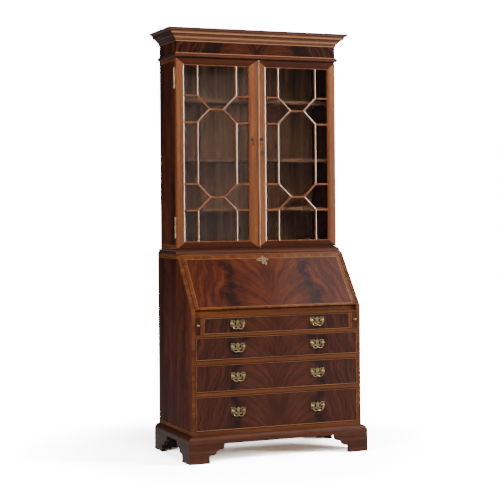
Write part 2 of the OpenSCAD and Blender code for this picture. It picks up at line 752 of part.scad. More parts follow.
lower_side_left();
lower_side_right();
lower_back_panel();
dust_boards();
drawer_blades();
drawer_runners();
writing_deck();
desk_top_board();
base_moulding();
front_feet();
back_feet();
waist_moulding();
gallery_case();
upper_side_left();
upper_side_right();
upper_back_panel();
upper_boards();
bookcase_shelves();
frieze_board();
frieze_bead();
cornice();
case_brass();
door_left_frame();
door_left_bars();
door_left_glass();
door_left_fittings();
door_left_drop_pull();
door_right_frame();
door_right_bars();
door_right_glass();
door_right_fittings();
door_right_drop_pull();
meeting_bead();
door_key();
fall_board();
fall_fittings();
drawer_1_front();
drawer_1_box();
drawer_1_plates();
bail_1_left();
bail_1_right();
drawer_2_front();
drawer_2_box();
drawer_2_plates();
bail_2_left();
bail_2_right();
drawer_3_front();
drawer_3_box();
drawer_3_plates();
bail_3_left();
bail_3_right();
drawer_4_front();
drawer_4_box();
drawer_4_plates();
bail_4_left();
bail_4_right();
loper_left();
loper_right();
small_drawer_left();
small_drawer_right();
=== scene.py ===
import math
import bpy
import bmesh
from mathutils import Matrix, Vector


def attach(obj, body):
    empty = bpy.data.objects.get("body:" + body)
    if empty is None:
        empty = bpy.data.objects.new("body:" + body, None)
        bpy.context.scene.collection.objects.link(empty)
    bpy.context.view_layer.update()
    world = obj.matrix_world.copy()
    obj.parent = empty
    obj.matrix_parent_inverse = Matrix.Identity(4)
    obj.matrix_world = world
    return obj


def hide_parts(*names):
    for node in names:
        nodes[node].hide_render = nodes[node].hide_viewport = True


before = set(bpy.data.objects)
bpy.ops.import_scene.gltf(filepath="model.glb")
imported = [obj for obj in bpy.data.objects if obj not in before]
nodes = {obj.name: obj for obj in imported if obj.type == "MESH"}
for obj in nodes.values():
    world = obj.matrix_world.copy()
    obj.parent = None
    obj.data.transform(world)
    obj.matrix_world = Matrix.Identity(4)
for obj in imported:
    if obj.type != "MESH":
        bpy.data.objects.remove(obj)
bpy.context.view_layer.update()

print("frame loaded:", len(nodes), "nodes")

mm = 0.001

class Maker:
    # adds nodes to a tree and feeds their sockets with numbers or with other sockets
    def __init__(self, tree):
        self.tree = tree
        self.count = 0

    def node(self, kind, feeds=None, **settings):
        made = self.tree.nodes.new(kind)
        made.location = ((self.count % 10) * 190, -(self.count // 10) * 280)
        self.count += 1
        for key, value in settings.items():
            setattr(made, key, value)
        for key, value in (feeds or {}).items():
            self.feed(made.inputs[key], value)
        return made

    def feed(self, socket, value):
        if isinstance(value, bpy.types.NodeSocket):
            self.tree.links.new(value, socket)
        else:
            socket.default_value = value

    def calc(self, kind, a, b=0.0, c=0.0):
        return self.node("ShaderNodeMath", {0: a, 1: b, 2: c}, operation=kind).outputs[0]

    def times(self, a, b):
        return self.calc("MULTIPLY", a, b)

    def plus(self, a, b):
        return self.calc("ADD", a, b)

    def minus(self, a, b):
        return self.calc("SUBTRACT", a, b)

    def scaled(self, a, b, c):    # a times b, plus c
        return self.calc("MULTIPLY_ADD", a, b, c)

    def away(self, a):
        return self.calc("ABSOLUTE", a)

    def xyz(self, vector):
        return self.node("ShaderNodeSeparateXYZ", {0: vector}).outputs

    def join(self, x, y, z=0.0):
        return self.node("ShaderNodeCombineXYZ", {0: x, 1: y, 2: z}).outputs[0]

    def noise(self, vector, scale, detail=4.0, rough=0.6, distort=0.0):
        return self.node("ShaderNodeTexNoise", {"Vector": vector, "Scale": scale, "Detail": detail,
                                                "Roughness": rough, "Distortion": distort}).outputs[0]

    def fit(self, value, low, high, toLow=0.0, toHigh=1.0, smooth=False):
        made = self.node("ShaderNodeMapRange", {0: value, 1: low, 2: high, 3: toLow, 4: toHigh})
        made.interpolation_type = "SMOOTHSTEP" if smooth else "LINEAR"
        return made.outputs[0]

    def mixColour(self, mask, a, b, blend="MIX"):
        made = self.node("ShaderNodeMix", data_type="RGBA", blend_type=blend)
        self.feed(made.inputs[0], mask)
        self.feed(made.inputs[6], a)
        self.feed(made.inputs[7], b)
        return made.outputs[2]

    def ramp(self, value, stops):
        made = self.node("ShaderNodeValToRGB", {0: value})
        steps = made.color_ramp.elements
        while len(steps) < len(stops):
            steps.new(0.5)
        for step, (place, colour) in zip(steps, stops):
            step.position = place
            step.color = (*colour, 1)
        return made.outputs[0]


def newGroup(name, inputs, outputs):
    group = bpy.data.node_groups.new(name, "ShaderNodeTree")
    for label, kind, value in inputs:
        socket = group.interface.new_socket(label, in_out="INPUT", socket_type=kind)
        if value is not None:
            socket.default_value = value
    for label, kind in outputs:
        group.interface.new_socket(label, in_out="OUTPUT", socket_type=kind)
    make = Maker(group)
    return group, make, make.node("NodeGroupInput").outputs, make.node("NodeGroupOutput").inputs


# straight grain along X: long streaks, short pores, and a slow change of tone
def buildStraightGrain():
    group, make, given, out = newGroup("straightGrain", [
        ("Vector", "NodeSocketVector", None), ("Stretch", "NodeSocketFloat", 26.0),
        ("Wave", "NodeSocketFloat", 0.012), ("Seed", "NodeSocketFloat", 0.0)],
        [("Tone", "NodeSocketFloat"), ("Pores", "NodeSocketFloat"), ("Height", "NodeSocketFloat")])
    x, y, z = make.xyz(given["Vector"])
    sway = make.minus(make.noise(make.join(make.times(x, 3.0), y, given["Seed"]), 1.6), 0.5)
    sway = make.times(sway, given["Wave"])
    across = make.plus(y, sway)
    slow = make.calc("DIVIDE", x, given["Stretch"])
    flow = make.join(slow, across, make.plus(z, given["Seed"]))
    broad = make.noise(flow, 28.0, 3.0, 0.55)
    streak = make.noise(flow, 160.0, 5.0, 0.7)
    pores = make.noise(flow, 900.0, 2.0, 0.8)
    tone = make.scaled(broad, 0.55, make.times(streak, 0.45))
    make.feed(out["Tone"], make.fit(tone, 0.3, 0.7))
    make.feed(out["Pores"], make.fit(pores, 0.52, 0.68))
    make.feed(out["Height"], make.scaled(pores, 0.6, make.times(streak, 0.4)))
    return group


# book-matched flame figure that fans up and outwards from the foot of the middle line
def buildFlame():
    group, make, given, out = newGroup("flameFigure", [
        ("Vector", "NodeSocketVector", None), ("Lean", "NodeSocketFloat", 1.05),
        ("Plume", "NodeSocketFloat", 0.23), ("Size", "NodeSocketFloat", 1.0),
        ("Seed", "NodeSocketFloat", 0.0)],
        [("Tone", "NodeSocketFloat"), ("Pores", "NodeSocketFloat"), ("Height", "NodeSocketFloat")])
    x, y = make.xyz(given["Vector"])[:2]
    side = make.away(x)
    place = make.join(side, y, given["Seed"])
    wobble = make.minus(make.noise(place, 7.0, 3.0), 0.5)
    ripple = make.minus(make.noise(place, 38.0, 3.0), 0.5)
    out1 = make.scaled(wobble, 0.10, side)
    out2 = make.scaled(ripple, 0.012, out1)
    up = make.scaled(wobble, 0.05, make.plus(y, 0.03))
    angle = make.calc("ARCTAN2", up, out2)
    reach = make.calc("SQRT", make.plus(make.times(out2, out2), make.times(up, up)))
    curl = make.scaled(make.calc("DIVIDE", reach, given["Size"]), 1.1, angle)
    fan = make.join(make.times(curl, 5.0), make.times(reach, 3.0), given["Seed"])
    broad = make.noise(fan, 2.0, 2.0, 0.5)
    streak = make.noise(fan, 12.0, 6.0, 0.7, 0.3)
    outer = make.join(make.times(make.scaled(y, 0.25, out2), 55.0), make.times(y, 3.0), given["Seed"])
    plain = make.noise(outer, 1.3, 5.0, 0.6)
    beyond = make.fit(out2, given["Plume"], make.plus(given["Plume"], 0.06), smooth=True)
    body = make.scaled(broad, 0.5, make.times(streak, 0.5))
    body = make.node("ShaderNodeMix", {0: beyond, 2: body, 3: plain}).outputs[0]
    feather = make.fit(make.away(make.minus(curl, given["Lean"])), 0.0, 0.15, 1.0, 0.0, True)
    inside = make.fit(out2, given["Plume"], make.times(given["Plume"], 0.8))
    feather = make.times(make.times(feather, inside), make.fit(streak, 0.30, 0.62, 1.0, 0.25))
    drift = make.scaled(wobble, 0.11, make.minus(out1, given["Plume"]))
    blotch = make.fit(make.away(drift), 0.0, 0.055, 1.0, 0.0, True)
    blotch = make.times(blotch, make.fit(make.noise(place, 24.0, 5.0, 0.7), 0.30, 0.62))
    glow = make.fit(make.away(make.minus(out2, make.times(given["Plume"], 0.45))), 0.0,
                    make.times(given["Plume"], 0.5), 0.10, 0.0, True)
    dark = make.scaled(feather, 0.32, make.times(blotch, 0.42))
    tone = make.plus(make.minus(make.fit(body, 0.12, 0.88), dark), glow)
    pores = make.noise(make.join(make.times(curl, 9.0), reach, 0.0), 60.0, 2.0, 0.8)
    make.feed(out["Tone"], tone)
    make.feed(out["Pores"], make.fit(pores, 0.55, 0.72))
    make.feed(out["Height"], make.scaled(streak, 0.6, make.times(pores, 0.4)))
    return group


# rubbed edges: how far the surface bends within a small radius
def buildEdgeWear():
    group, make, given, out = newGroup("edgeWear", [
        ("Radius", "NodeSocketFloat", 0.0025), ("Vector", "NodeSocketVector", None)],
        [("Wear", "NodeSocketFloat")])
    soft = make.node("ShaderNodeBevel", {"Radius": given["Radius"]}, samples=4).outputs[0]
    flat = make.node("ShaderNodeNewGeometry").outputs["Normal"]
    turn = make.node("ShaderNodeVectorMath", {0: soft, 1: flat}, operation="DOT_PRODUCT").outputs["Value"]
    edge = make.fit(turn, 0.995, 0.86)
    patchy = make.fit(make.noise(given["Vector"], 45.0, 4.0), 0.35, 0.65)
    make.feed(out["Wear"], make.times(edge, patchy))
    return group


# distance from a panel's edge, and the bands inlaid along it
def buildInlay():
    group, make, given, out = newGroup("inlayBands", [
        ("Across", "NodeSocketFloat", 0.0), ("Up", "NodeSocketFloat", 0.0),
        ("Half Width", "NodeSocketFloat", 0.4), ("Half Height", "NodeSocketFloat", 0.1),
        ("Line", "NodeSocketFloat", 0.0016)],
        [("Band", "NodeSocketFloat"), ("Line", "NodeSocketFloat"), ("Upright", "NodeSocketFloat")])
    dx = make.minus(given["Half Width"], make.away(given["Across"]))
    dy = make.minus(given["Half Height"], make.away(given["Up"]))
    depth = make.calc("MINIMUM", dx, dy)
    make.feed(out["Band"], make.fit(depth, 0.0003, -0.0003))
    half = make.times(given["Line"], 0.5)
    away = make.away(make.plus(depth, half))
    make.feed(out["Line"], make.fit(away, half, make.times(half, 0.5)))
    make.feed(out["Upright"], make.calc("LESS_THAN", dx, dy))
    return group


groups = {"straight": buildStraightGrain(), "flame": buildFlame(), "wear": buildEdgeWear(),
          "inlay": buildInlay()}

tones = {
    "flame": [(0.0, (0.005, 0.0012, 0.0005)), (0.25, (0.020, 0.0038, 0.0012)),
              (0.5, (0.066, 0.0110, 0.0026)),
              (0.75, (0.145, 0.029, 0.0075)), (1.0, (0.27, 0.066, 0.019))],
    "drawer": [(0.0, (0.005, 0.0014, 0.0008)), (0.25, (0.017, 0.0040, 0.0019)),
               (0.5, (0.050, 0.0108, 0.0046)),
               (0.75, (0.092, 0.0215, 0.0088)), (1.0, (0.16, 0.042, 0.0155))],
    "frieze": [(0.0, (0.004, 0.0012, 0.0006)), (0.40, (0.013, 0.0030, 0.0013)),
               (0.52, (0.038, 0.0076, 0.0025)),
               (0.70, (0.090, 0.020, 0.0056)), (1.0, (0.19, 0.049, 0.013))],
    "crown": [(0.0, (0.085, 0.027, 0.0105)), (0.5, (0.185, 0.066, 0.029)), (1.0, (0.31, 0.125, 0.056))],
    "dark": [(0.0, (0.012, 0.0028, 0.0010)), (0.5, (0.042, 0.0085, 0.0026)), (1.0, (0.098, 0.024, 0.0070))],
    "solid": [(0.0, (0.036, 0.0070, 0.0022)), (0.5, (0.092, 0.0200, 0.0062)), (1.0, (0.17, 0.044, 0.014))],
    "stile": [(0.0, (0.10, 0.027, 0.0080)), (0.5, (0.225, 0.070, 0.0205)), (1.0, (0.37, 0.135, 0.042))],
    # the door rails' tone is painted darker than the stiles': painted shade for cross grain catching less
    # light
    "shadedDoorRail": [(0.0, (0.019, 0.0041, 0.0013)), (0.5, (0.050, 0.0115, 0.0035)),
                 (1.0, (0.098, 0.026, 0.0080))],
    "band": [(0.0, (0.050, 0.0125, 0.0027)), (0.5, (0.135, 0.037, 0.0070)), (1.0, (0.26, 0.082, 0.017))],
    "rail": [(0.0, (0.044, 0.0110, 0.0024)), (0.5, (0.130, 0.035, 0.0072)), (1.0, (0.25, 0.076, 0.017))],
    "bead": [(0.0, (0.16, 0.052, 0.018)), (0.5, (0.29, 0.11, 0.040)), (1.0, (0.44, 0.19, 0.075))],
    "edge": [(0.0, (0.050, 0.0135, 0.0046)), (0.5, (0.118, 0.035, 0.0120)), (1.0, (0.22, 0.072, 0.026))],
    "base": [(0.0, (0.030, 0.0078, 0.0032)), (0.5, (0.076, 0.0215, 0.0092)), (1.0, (0.145, 0.045, 0.0195))],
    "plain": [(0.0, (0.20, 0.095, 0.034)), (0.5, (0.36, 0.19, 0.070)), (1.0, (0.50, 0.30, 0.13))],
    "inside": [(0.0, (0.13, 0.048, 0.020)), (0.5, (0.27, 0.112, 0.050)), (1.0, (0.44, 0.21, 0.098))],
}
turns = {"x": (0, 0, 0), "y": (0, 0, -math.pi / 2), "z": (0, math.pi / 2, 0)}


def group(make, name, **feeds):
    made = make.node("ShaderNodeGroup")
    made.node_tree = groups[name]
    for key, value in feeds.items():
        make.feed(made.inputs[key.replace("_", " ")], value)
    return made.outputs


def startMaterial(name):
    material = bpy.data.materials.new(name)
    material.use_nodes = True
    tree = material.node_tree
    tree.nodes.clear()
    make = Maker(tree)
    shader = make.node("ShaderNodeBsdfPrincipled")
    make.node("ShaderNodeOutputMaterial", {"Surface": shader.outputs[0]})
    place = make.node("ShaderNodeTexCoord").outputs["Object"]
    return material, make, shader, place


# lacquered wood; the parts of the dictionary say how this one differs
lacquer = {"rough": 0.34, "coat": 0.22, "coatRough": 0.12, "bump": 0.10, "wear": 0.35, "shine": 0.25}


def finishWood(make, shader, place, colour, pores, height, look):
    rubbed = group(make, "wear", Vector=place)["Wear"]
    colour = make.mixColour(make.times(pores, 0.45), colour, (0.012, 0.005, 0.003, 1))
    lighter = make.mixColour(1.0, colour, (1.9, 1.7, 1.5, 1), "MULTIPLY")
    colour = make.mixColour(make.times(rubbed, look["wear"]), colour, lighter)
    make.feed(shader.inputs["Base Color"], colour)
    clouds = make.noise(place, 9.0, 3.0)
    rough = make.scaled(clouds, 0.14, look["rough"] - 0.07)
    rough = make.scaled(pores, 0.12, rough)
    make.feed(shader.inputs["Roughness"], make.scaled(rubbed, 0.08, rough))
    bump = make.node("ShaderNodeBump", {"Height": height, "Strength": look["bump"], "Distance": 0.0006})
    make.feed(shader.inputs["Normal"], bump.outputs[0])
    shader.inputs["Coat Weight"].default_value = look["coat"]
    shader.inputs["Coat Roughness"].default_value = look["coatRough"]
    shader.inputs["Specular IOR Level"].default_value = look["shine"]


def boardWood(name, tone, grain, seed=0.0, stretch=26.0, **changes):
    material, make, shader, place = startMaterial(name)
    turned = make.node("ShaderNodeMapping", {"Vector": place, "Rotation": turns[grain]}).outputs[0]
    grown = group(make, "straight", Vector=turned, Seed=seed, Stretch=stretch)
    colour = make.ramp(grown["Tone"], tones[tone])
    finishWood(make, shader, place, colour, grown["Pores"], grown["Height"], {**lacquer, **changes})
    return material


# a veneered panel: flame figure inside, then a stringing line and a crossband round the edge
def panelVeneer(name, middle, half, look, tilt=0.0):
    material, make, shader, place = startMaterial(name)
    centred = make.node("ShaderNodeMapping", {"Vector": place, "Location": middle}).outputs[0]
    turned = make.node("ShaderNodeMapping", {"Vector": centred, "Rotation": (tilt, 0, 0)}).outputs[0]
    x, y, z = make.xyz(turned)
    upward = y if tilt else z
    figure = group(make, "flame", Vector=make.join(x, make.plus(upward, look["foot"]), 0.0),
                   Lean=look["lean"], Plume=look["plume"], Size=look["size"], Seed=look["seed"])
    colour = make.ramp(figure["Tone"], tones[look.get("tone", "flame")])
    pores, height = figure["Pores"], figure["Height"]
    if look["band"]:
        shifted = make.minus(upward, look["shift"])
        bands = group(make, "inlay", Across=x, Up=shifted, Half_Width=half[0], Half_Height=half[1],
                      Line=look["line"])
        along, across = make.join(upward, x, 0.0), make.join(x, upward, 0.0)
        long = group(make, "straight", Vector=along, Stretch=9.0, Seed=look["seed"] + 3.0)["Tone"]
        short = group(make, "straight", Vector=across, Stretch=9.0, Seed=look["seed"] + 5.0)["Tone"]
        tone = make.node("ShaderNodeMix", {0: bands["Upright"], 2: long, 3: short}).outputs[0]
        banding = make.ramp(tone, tones[look["band"]])
        colour = make.mixColour(bands["Band"], colour, banding)
        colour = make.mixColour(bands["Line"], colour, look["lineColour"])
    # cockbead: painted lighter, partly its own tone and partly a painted highlight, with its outer edge
    # painted dark as the shadow in the gap round the drawer
    if "beadFrom" in look:
        proud = make.calc("LESS_THAN", make.xyz(place)[1], look["beadFrom"])
        plain = group(make, "straight", Vector=place, Stretch=20.0, Seed=look["seed"] + 7.0)
        across, up = make.away(x), make.away(z)
        rim = make.calc("MINIMUM", make.minus(half[0], across), make.minus(half[1], up))
        beadHighlightAndGap = make.mixColour(make.fit(rim, 0.0006, 0.0014), (0.03, 0.008, 0.003, 1),
                                 make.ramp(plain["Tone"], tones["bead"]))
        colour = make.mixColour(proud, colour, beadHighlightAndGap)
        # painted shade on the field just inside the proud bead
        shade = make.times(make.fit(rim, 0.0036, 0.009, 0.75, 0.0, True), make.minus(1.0, proud))
        colour = make.mixColour(shade, colour, (0.006, 0.002, 0.001, 1))
    # painted shadow line along the fall's side edges, where the gap to the case sides falls in shade
    if "rim" in look:
        away = make.minus(look["rim"], make.away(x))
        colour = make.mixColour(make.calc("LESS_THAN", away, 0.0022), colour, (0.008, 0.003, 0.001, 1))
    finishWood(make, shader, place, colour, pores, height, {**lacquer, **look.get("finish", {})})
    return material


# a case side: flame figure painted lighter towards the front edge as painted light, with straight bands
# between given heights and a line along the front edge
def sideVeneer(name, look):
    material, make, shader, place = startMaterial(name)
    y, z = make.xyz(place)[1:]
    spread = make.join(make.minus(y, look["middle"]), make.minus(z, look["foot"]), 0.0)
    figure = group(make, "flame", Vector=spread, Lean=look["lean"], Plume=look["plume"], Size=look["size"],
                   Seed=look["seed"])
    streaks = make.noise(make.join(make.scaled(y, 17.0, look["seed"]), make.times(z, 1.3), 0.0), 1.0, 4.0)
    streaks = make.fit(streaks, 0.32, 0.72)
    # painted light: the tone rises towards the front edge, where more light falls
    paintedFrontLight = make.fit(y, 0.02, -0.24, 0.0, look["paintedFrontLightAmount"])
    tone = make.scaled(figure["Tone"], 0.45, make.scaled(streaks, 0.5, paintedFrontLight))
    colour = make.ramp(tone, tones[look["tone"]])
    straight = group(make, "straight", Vector=make.join(y, z, 0.0), Stretch=12.0, Seed=look["seed"] + 2.0)
    banding = make.ramp(straight["Tone"], tones["rail"])
    for low, high in look["bands"]:
        inBand = make.calc("COMPARE", z, (low + high) / 2, (high - low) / 2)
        colour = make.mixColour(inBand, colour, banding)
        for edge in (low, high):
            colour = make.mixColour(make.calc("COMPARE", z, edge, 0.0007), colour, (0.36, 0.19, 0.07, 1))
    depth = make.minus(y, look["front"])
    if look["slope"]:
        rise = make.minus(z, desk["slopeStart"] * mm)
        along = make.minus(make.times(depth, math.sin(desk["slope"])),
                           make.times(rise, math.cos(desk["slope"])))
        depth = make.calc("MINIMUM", depth, along)
    edgeWide, lineAt, lineHalf = 0.0016, 0.0117, 0.0007
    edge = make.ramp(straight["Tone"], tones["edge"])
    colour = make.mixColour(make.calc("LESS_THAN", depth, edgeWide), colour, edge)
    colour = make.mixColour(make.calc("COMPARE", depth, lineAt, lineHalf), colour, (0.26, 0.11, 0.035, 1))
    finishWood(make, shader, place, colour, figure["Pores"], figure["Height"],
               {**lacquer, **look.get("finish", {})})
    return material


# a moulding's front: painted shadow lines and painted highlight lines along it, as heights, half widths and
# colours
def linedWood(name, tone, seed, lines, **changes):
    material, make, shader, place = startMaterial(name)
    z = make.xyz(place)[2]
    grown = group(make, "straight", Vector=place, Stretch=26.0, Seed=seed)
    colour = make.ramp(grown["Tone"], tones[tone])
    for height, half, paintedLine in lines:
        near = make.fit(make.away(make.minus(z, height * mm)), half * 0.5 * mm, half * 1.5 * mm, 0.9, 0.0)
        # each line is painted shade or a painted highlight
        colour = make.mixColour(near, colour, paintedLine)
    finishWood(make, shader, place, colour, grown["Pores"], grown["Height"], {**lacquer, **changes})
    return material


# the rails between the drawers: crossbanded, with a painted shadow line beside each drawer, where the gap to
# the drawer falls in shade
def bladeWood(gaps):
    material, make, shader, place = startMaterial("bladeBanding")
    z = make.xyz(place)[2]
    grown = group(make, "straight", Vector=place, Stretch=30.0, Seed=8.0)
    colour = make.ramp(grown["Tone"], tones["rail"])
    for low, high in gaps:
        for edge in (low, high):
            # painted shade: darkens the rail towards each drawer's edge
            near = make.fit(make.away(make.minus(z, edge * mm)), 0.0022, 0.0042, 0.85, 0.0)
            colour = make.mixColour(near, colour, (0.012, 0.004, 0.001, 1))
    finishWood(make, shader, place, colour, grown["Pores"], grown["Height"], lacquer)
    return material


# a loper's end: dark panel with a banded strip above it
def loperWood():
    material, make, shader, place = startMaterial("loperWood")
    x, y, z = make.xyz(place)
    grown = group(make, "straight", Vector=make.join(z, x, y), Stretch=14.0, Seed=21.0)
    flat = group(make, "straight", Vector=place, Stretch=18.0, Seed=22.0)
    stripLow = 0.744
    strip = make.calc("GREATER_THAN", z, stripLow)
    colour = make.mixColour(strip, make.ramp(grown["Tone"], tones["dark"]),
                            make.ramp(flat["Tone"], tones["rail"]))
    colour = make.mixColour(make.calc("COMPARE", z, stripLow, 0.0008), colour, (0.01, 0.004, 0.003, 1))
    finishWood(make, shader, place, colour, grown["Pores"], grown["Height"], lacquer)
    return material


def brassMaterial(name, bright, deep, rough, darkBelow=None):
    material, make, shader, place = startMaterial(name)
    tarnish = make.fit(make.noise(place, 160.0, 5.0, 0.7), 0.35, 0.7)
    rubbed = group(make, "wear", Vector=place, Radius=0.0012)["Wear"]
    colour = make.mixColour(tarnish, (*bright, 1), (*deep, 1))
    colour = make.mixColour(rubbed, colour, (*[min(1, c * 1.35) for c in bright], 1))
    # brass below this height is given a darker colour
    if darkBelow:
        low = make.calc("LESS_THAN", make.xyz(place)[2], darkBelow)
        colour = make.mixColour(low, colour, (0.07, 0.045, 0.02, 1))
    make.feed(shader.inputs["Base Color"], colour)
    shader.inputs["Metallic"].default_value = 1.0
    make.feed(shader.inputs["Roughness"], make.scaled(tarnish, 0.18, rough))
    bump = make.node("ShaderNodeBump", {"Height": tarnish, "Strength": 0.12, "Distance": 0.0004})
    make.feed(shader.inputs["Normal"], bump.outputs[0])
    return material


def glassMaterial():
    material, make, shader, place = startMaterial("windowGlass")
    ripple = make.noise(place, 5.0, 2.0)
    bump = make.node("ShaderNodeBump", {"Height": ripple, "Strength": 0.05, "Distance": 0.002})
    make.feed(shader.inputs["Normal"], bump.outputs[0])
    smear = make.fit(make.noise(place, 7.0, 4.0), 0.4, 0.8, 0.0, 0.06)
    make.feed(shader.inputs["Roughness"], smear)
    shader.inputs["Base Color"].default_value = (0.93, 0.95, 0.95, 1)
    shader.inputs["Transmission Weight"].default_value = 1.0
    shader.inputs["IOR"].default_value = 1.45
    return material


scene = bpy.context.scene

# ground sizes of the piece, in millimetres
desk = {"half": 480, "front": -251, "back": 277, "top": 1061, "slope": math.radians(52.218),
        "slopeStart": 779,
        "footTop": 97}
book = {"half": 462.5, "doorLow": 1092, "doorHigh": 2098, "doorThick": 27, "total": 2254}
hands = ((-1, "Left"), (1, "Right"))


def arc(cx, cy, radius, start, end, steps=12):
    turns = [math.radians(start + (end - start) * i / steps) for i in range(steps + 1)]
    return [(cx + radius * math.cos(t), cy + radius * math.sin(t)) for t in turns]


def box(bm, low, high, slot=0):
    corners = [bm.verts.new((x, y, z)) for x in (low[0], high[0]) for y in (low[1], high[1])
               for z in (low[2], high[2])]
    for ring in ((0, 1, 3, 2), (4, 6, 7, 5), (0, 4, 5, 1), (2, 3, 7, 6), (0, 2, 6, 4), (1, 5, 7, 3)):
        bm.faces.new([corners[i] for i in ring]).material_index = slot


# the same box on the left (side -1) or the right (side 1)
def sideBox(bm, side, x0, x1, y0, y1, z0, z1, slot=0):
    x0, x1 = sorted((side * x0, side * x1))
    box(bm, (x0, y0, z0), (x1, y1, z1), slot)


# rings of points joined one to the next; slots gives a material for each side of a ring
def loft(bm, rings, around=True, caps=True, slot=0, slots=None):
    made = [[bm.verts.new(point) for point in ring] for ring in rings]
    count = len(rings[0])
    for a, b in zip(made, made[1:]):
        for i in range(count if around else count - 1):
            j = (i + 1) % count
            bm.faces.new((a[i], a[j], b[j], b[i])).material_index = slots[i] if slots else slot
    if caps:
        for ring in (made[0], made[-1]):
            bm.faces.new(ring).material_index = slot
    return made


# radius and height pairs turned about an axis; wrap joins the last pair to the first
def lathe(bm, profile, origin, axis=(0, -1, 0), steps=28, wrap=False, slot=0):
    turn = Vector((0, 0, 1)).rotation_difference(Vector(axis)).to_matrix()
    spins = [2 * math.pi * i / steps for i in range(steps)]
    shape = list(profile) + ([profile[0]] if wrap else [])
    rings = [[Vector(origin) + turn @ Vector((r * math.cos(t), r * math.sin(t), h)) for t in spins] for r,
             h in shape]
    loft(bm, rings, caps=not wrap, slot=slot)


# a round rod along a path, with its own radius at each point
def rod(bm, path, radii, sides=12, slot=0):
    points = [Vector(p) for p in path]
    rings = []
    normal = None
    for i, point in enumerate(points):
        ahead = (points[min(i + 1, len(points) - 1)] - points[max(i - 1, 0)]).normalized()
        if normal is None:
            normal = ahead.orthogonal()
        normal = (normal - ahead * normal.dot(ahead)).normalized()
        other = ahead.cross(normal)
        rings.append([point + (normal * math.cos(t) + other * math.sin(t)) * radii[i]
                      for t in [2 * math.pi * k / sides for k in range(sides)]])
    loft(bm, rings, slot=slot)


# the smooth stretch from b towards c, with a before and d after it
def stretch(a, b, c, d, steps):
    return [0.5 * (2 * b + (c - a) * t + (2 * a - 5 * b + 4 * c - d) * t * t
                   + (3 * b - a - 3 * c + d) * t * t * t)
            for t in [s / steps for s in range(steps)]]


# smooth closed line through its points
def smoothLoop(points, steps):
    spots = [Vector(p) for p in points]
    count = len(spots)
    line = []
    for i in range(count):
        line += stretch(spots[i - 1], spots[i], spots[(i + 1) % count], spots[(i + 2) % count], steps)
    return line


def smoothPath(points, steps):
    spots = [Vector(p) for p in points]
    ends = [spots[0] * 2 - spots[1], *spots, spots[-1] * 2 - spots[-2]]
    line = []
    for a, b, c, d in zip(ends, ends[1:], ends[2:], ends[3:]):
        line += stretch(a, b, c, d, steps)
    return line + [spots[-1]]


# both halves of an outline that is the same left and right
def mirrored(half):
    return list(half) + [(-x, y) for x, y in reversed(half) if abs(x) > 0.01]


# a thin pierced plate: outline and holes filled, then given its thickness, and set in place by a matrix
def plate(bm, outline, holes, thick, place, slot=0):
    flat = bmesh.new()
    for loop in [outline, *holes]:
        ring = [flat.verts.new((p[0], p[1], 0)) for p in loop]
        for a, b in zip(ring, ring[1:] + ring[:1]):
            flat.edges.new((a, b))
    bmesh.ops.triangle_fill(flat, use_beauty=True, edges=flat.edges[:], normal=(0, 0, 1))
    grown = bmesh.ops.extrude_face_region(flat, geom=flat.faces[:])["geom"]
    bmesh.ops.translate(flat, vec=(0, 0, thick),
                        verts=[v for v in grown if isinstance(v, bmesh.types.BMVert)])
    for face in flat.faces:
        face.material_index = slot
    bmesh.ops.recalc_face_normals(flat, faces=flat.faces[:])
    bmesh.ops.transform(flat, matrix=place, verts=flat.verts[:])
    spare = meshOf("spare", flat)
    bm.from_mesh(spare)
    bpy.data.meshes.remove(spare)


def meshOf(name, bm):
    mesh = bpy.data.meshes.new(name)
    bm.to_mesh(mesh)
    bm.free()
    return mesh


def addThing(name, data):
    thing = bpy.data.objects.new(name, data)
    scene.collection.objects.link(thing)
    return thing


# turns a drawing in millimetres into an object in metres, smooth but for edges past the sharp angle
def drawn(name, bm, sharp, materials=()):
    bmesh.ops.remove_doubles(bm, verts=bm.verts[:], dist=0.0005)
    bmesh.ops.recalc_face_normals(bm, faces=bm.faces[:])
    bmesh.ops.transform(bm, matrix=Matrix.Scale(mm, 4), verts=bm.verts[:])
    mesh = meshOf(name, bm)
    for material in materials:
        mesh.materials.append(material)
    mesh.polygons.foreach_set("use_smooth", [True] * len(mesh.polygons))
    mesh.set_sharp_from_angle(angle=math.radians(sharp))
    return addThing(name, mesh)


# a finished piece, which rides on a body and stands for the replaced nodes
def piece(name, bm, body, materials, replaced=(), bevel=0.0, rounds=2, sharp=38):
    made = drawn(name, bm, sharp, materials)
    if bevel:
        soften(made, bevel, rounds)
    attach(made, body)
    if replaced:
        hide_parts(*replaced)
    return made


def soften(thing, width, rounds=2, weld=False):
    if weld:
        thing.modifiers.new("weld", "WELD").merge_threshold = 0.00001
    bevel = thing.modifiers.new("bevel", "BEVEL")
    bevel.width = width * mm
    bevel.segments = rounds
    bevel.limit_method = "ANGLE"
    bevel.angle_limit = math.radians(35)
    bevel.harden_normals = not weld
    bevel.use_clamp_overlap = True


# a CAD node keeps its mesh and gets a material and eased edges
def dress(name, material, bevel=0.8):
    thing = nodes[name]
    if not thing.data.materials:
        thing.data.materials.append(material)
    for spot in thing.material_slots:
        spot.material = material
    soften(thing, bevel, 2, weld=True)


# camera, at the eye point of the view
view = {"place": (-2.8445, -6.8142, 1.2877), "yaw": 22.302, "roll": -0.459, "lens": 98.56, "rise": -0.0773}


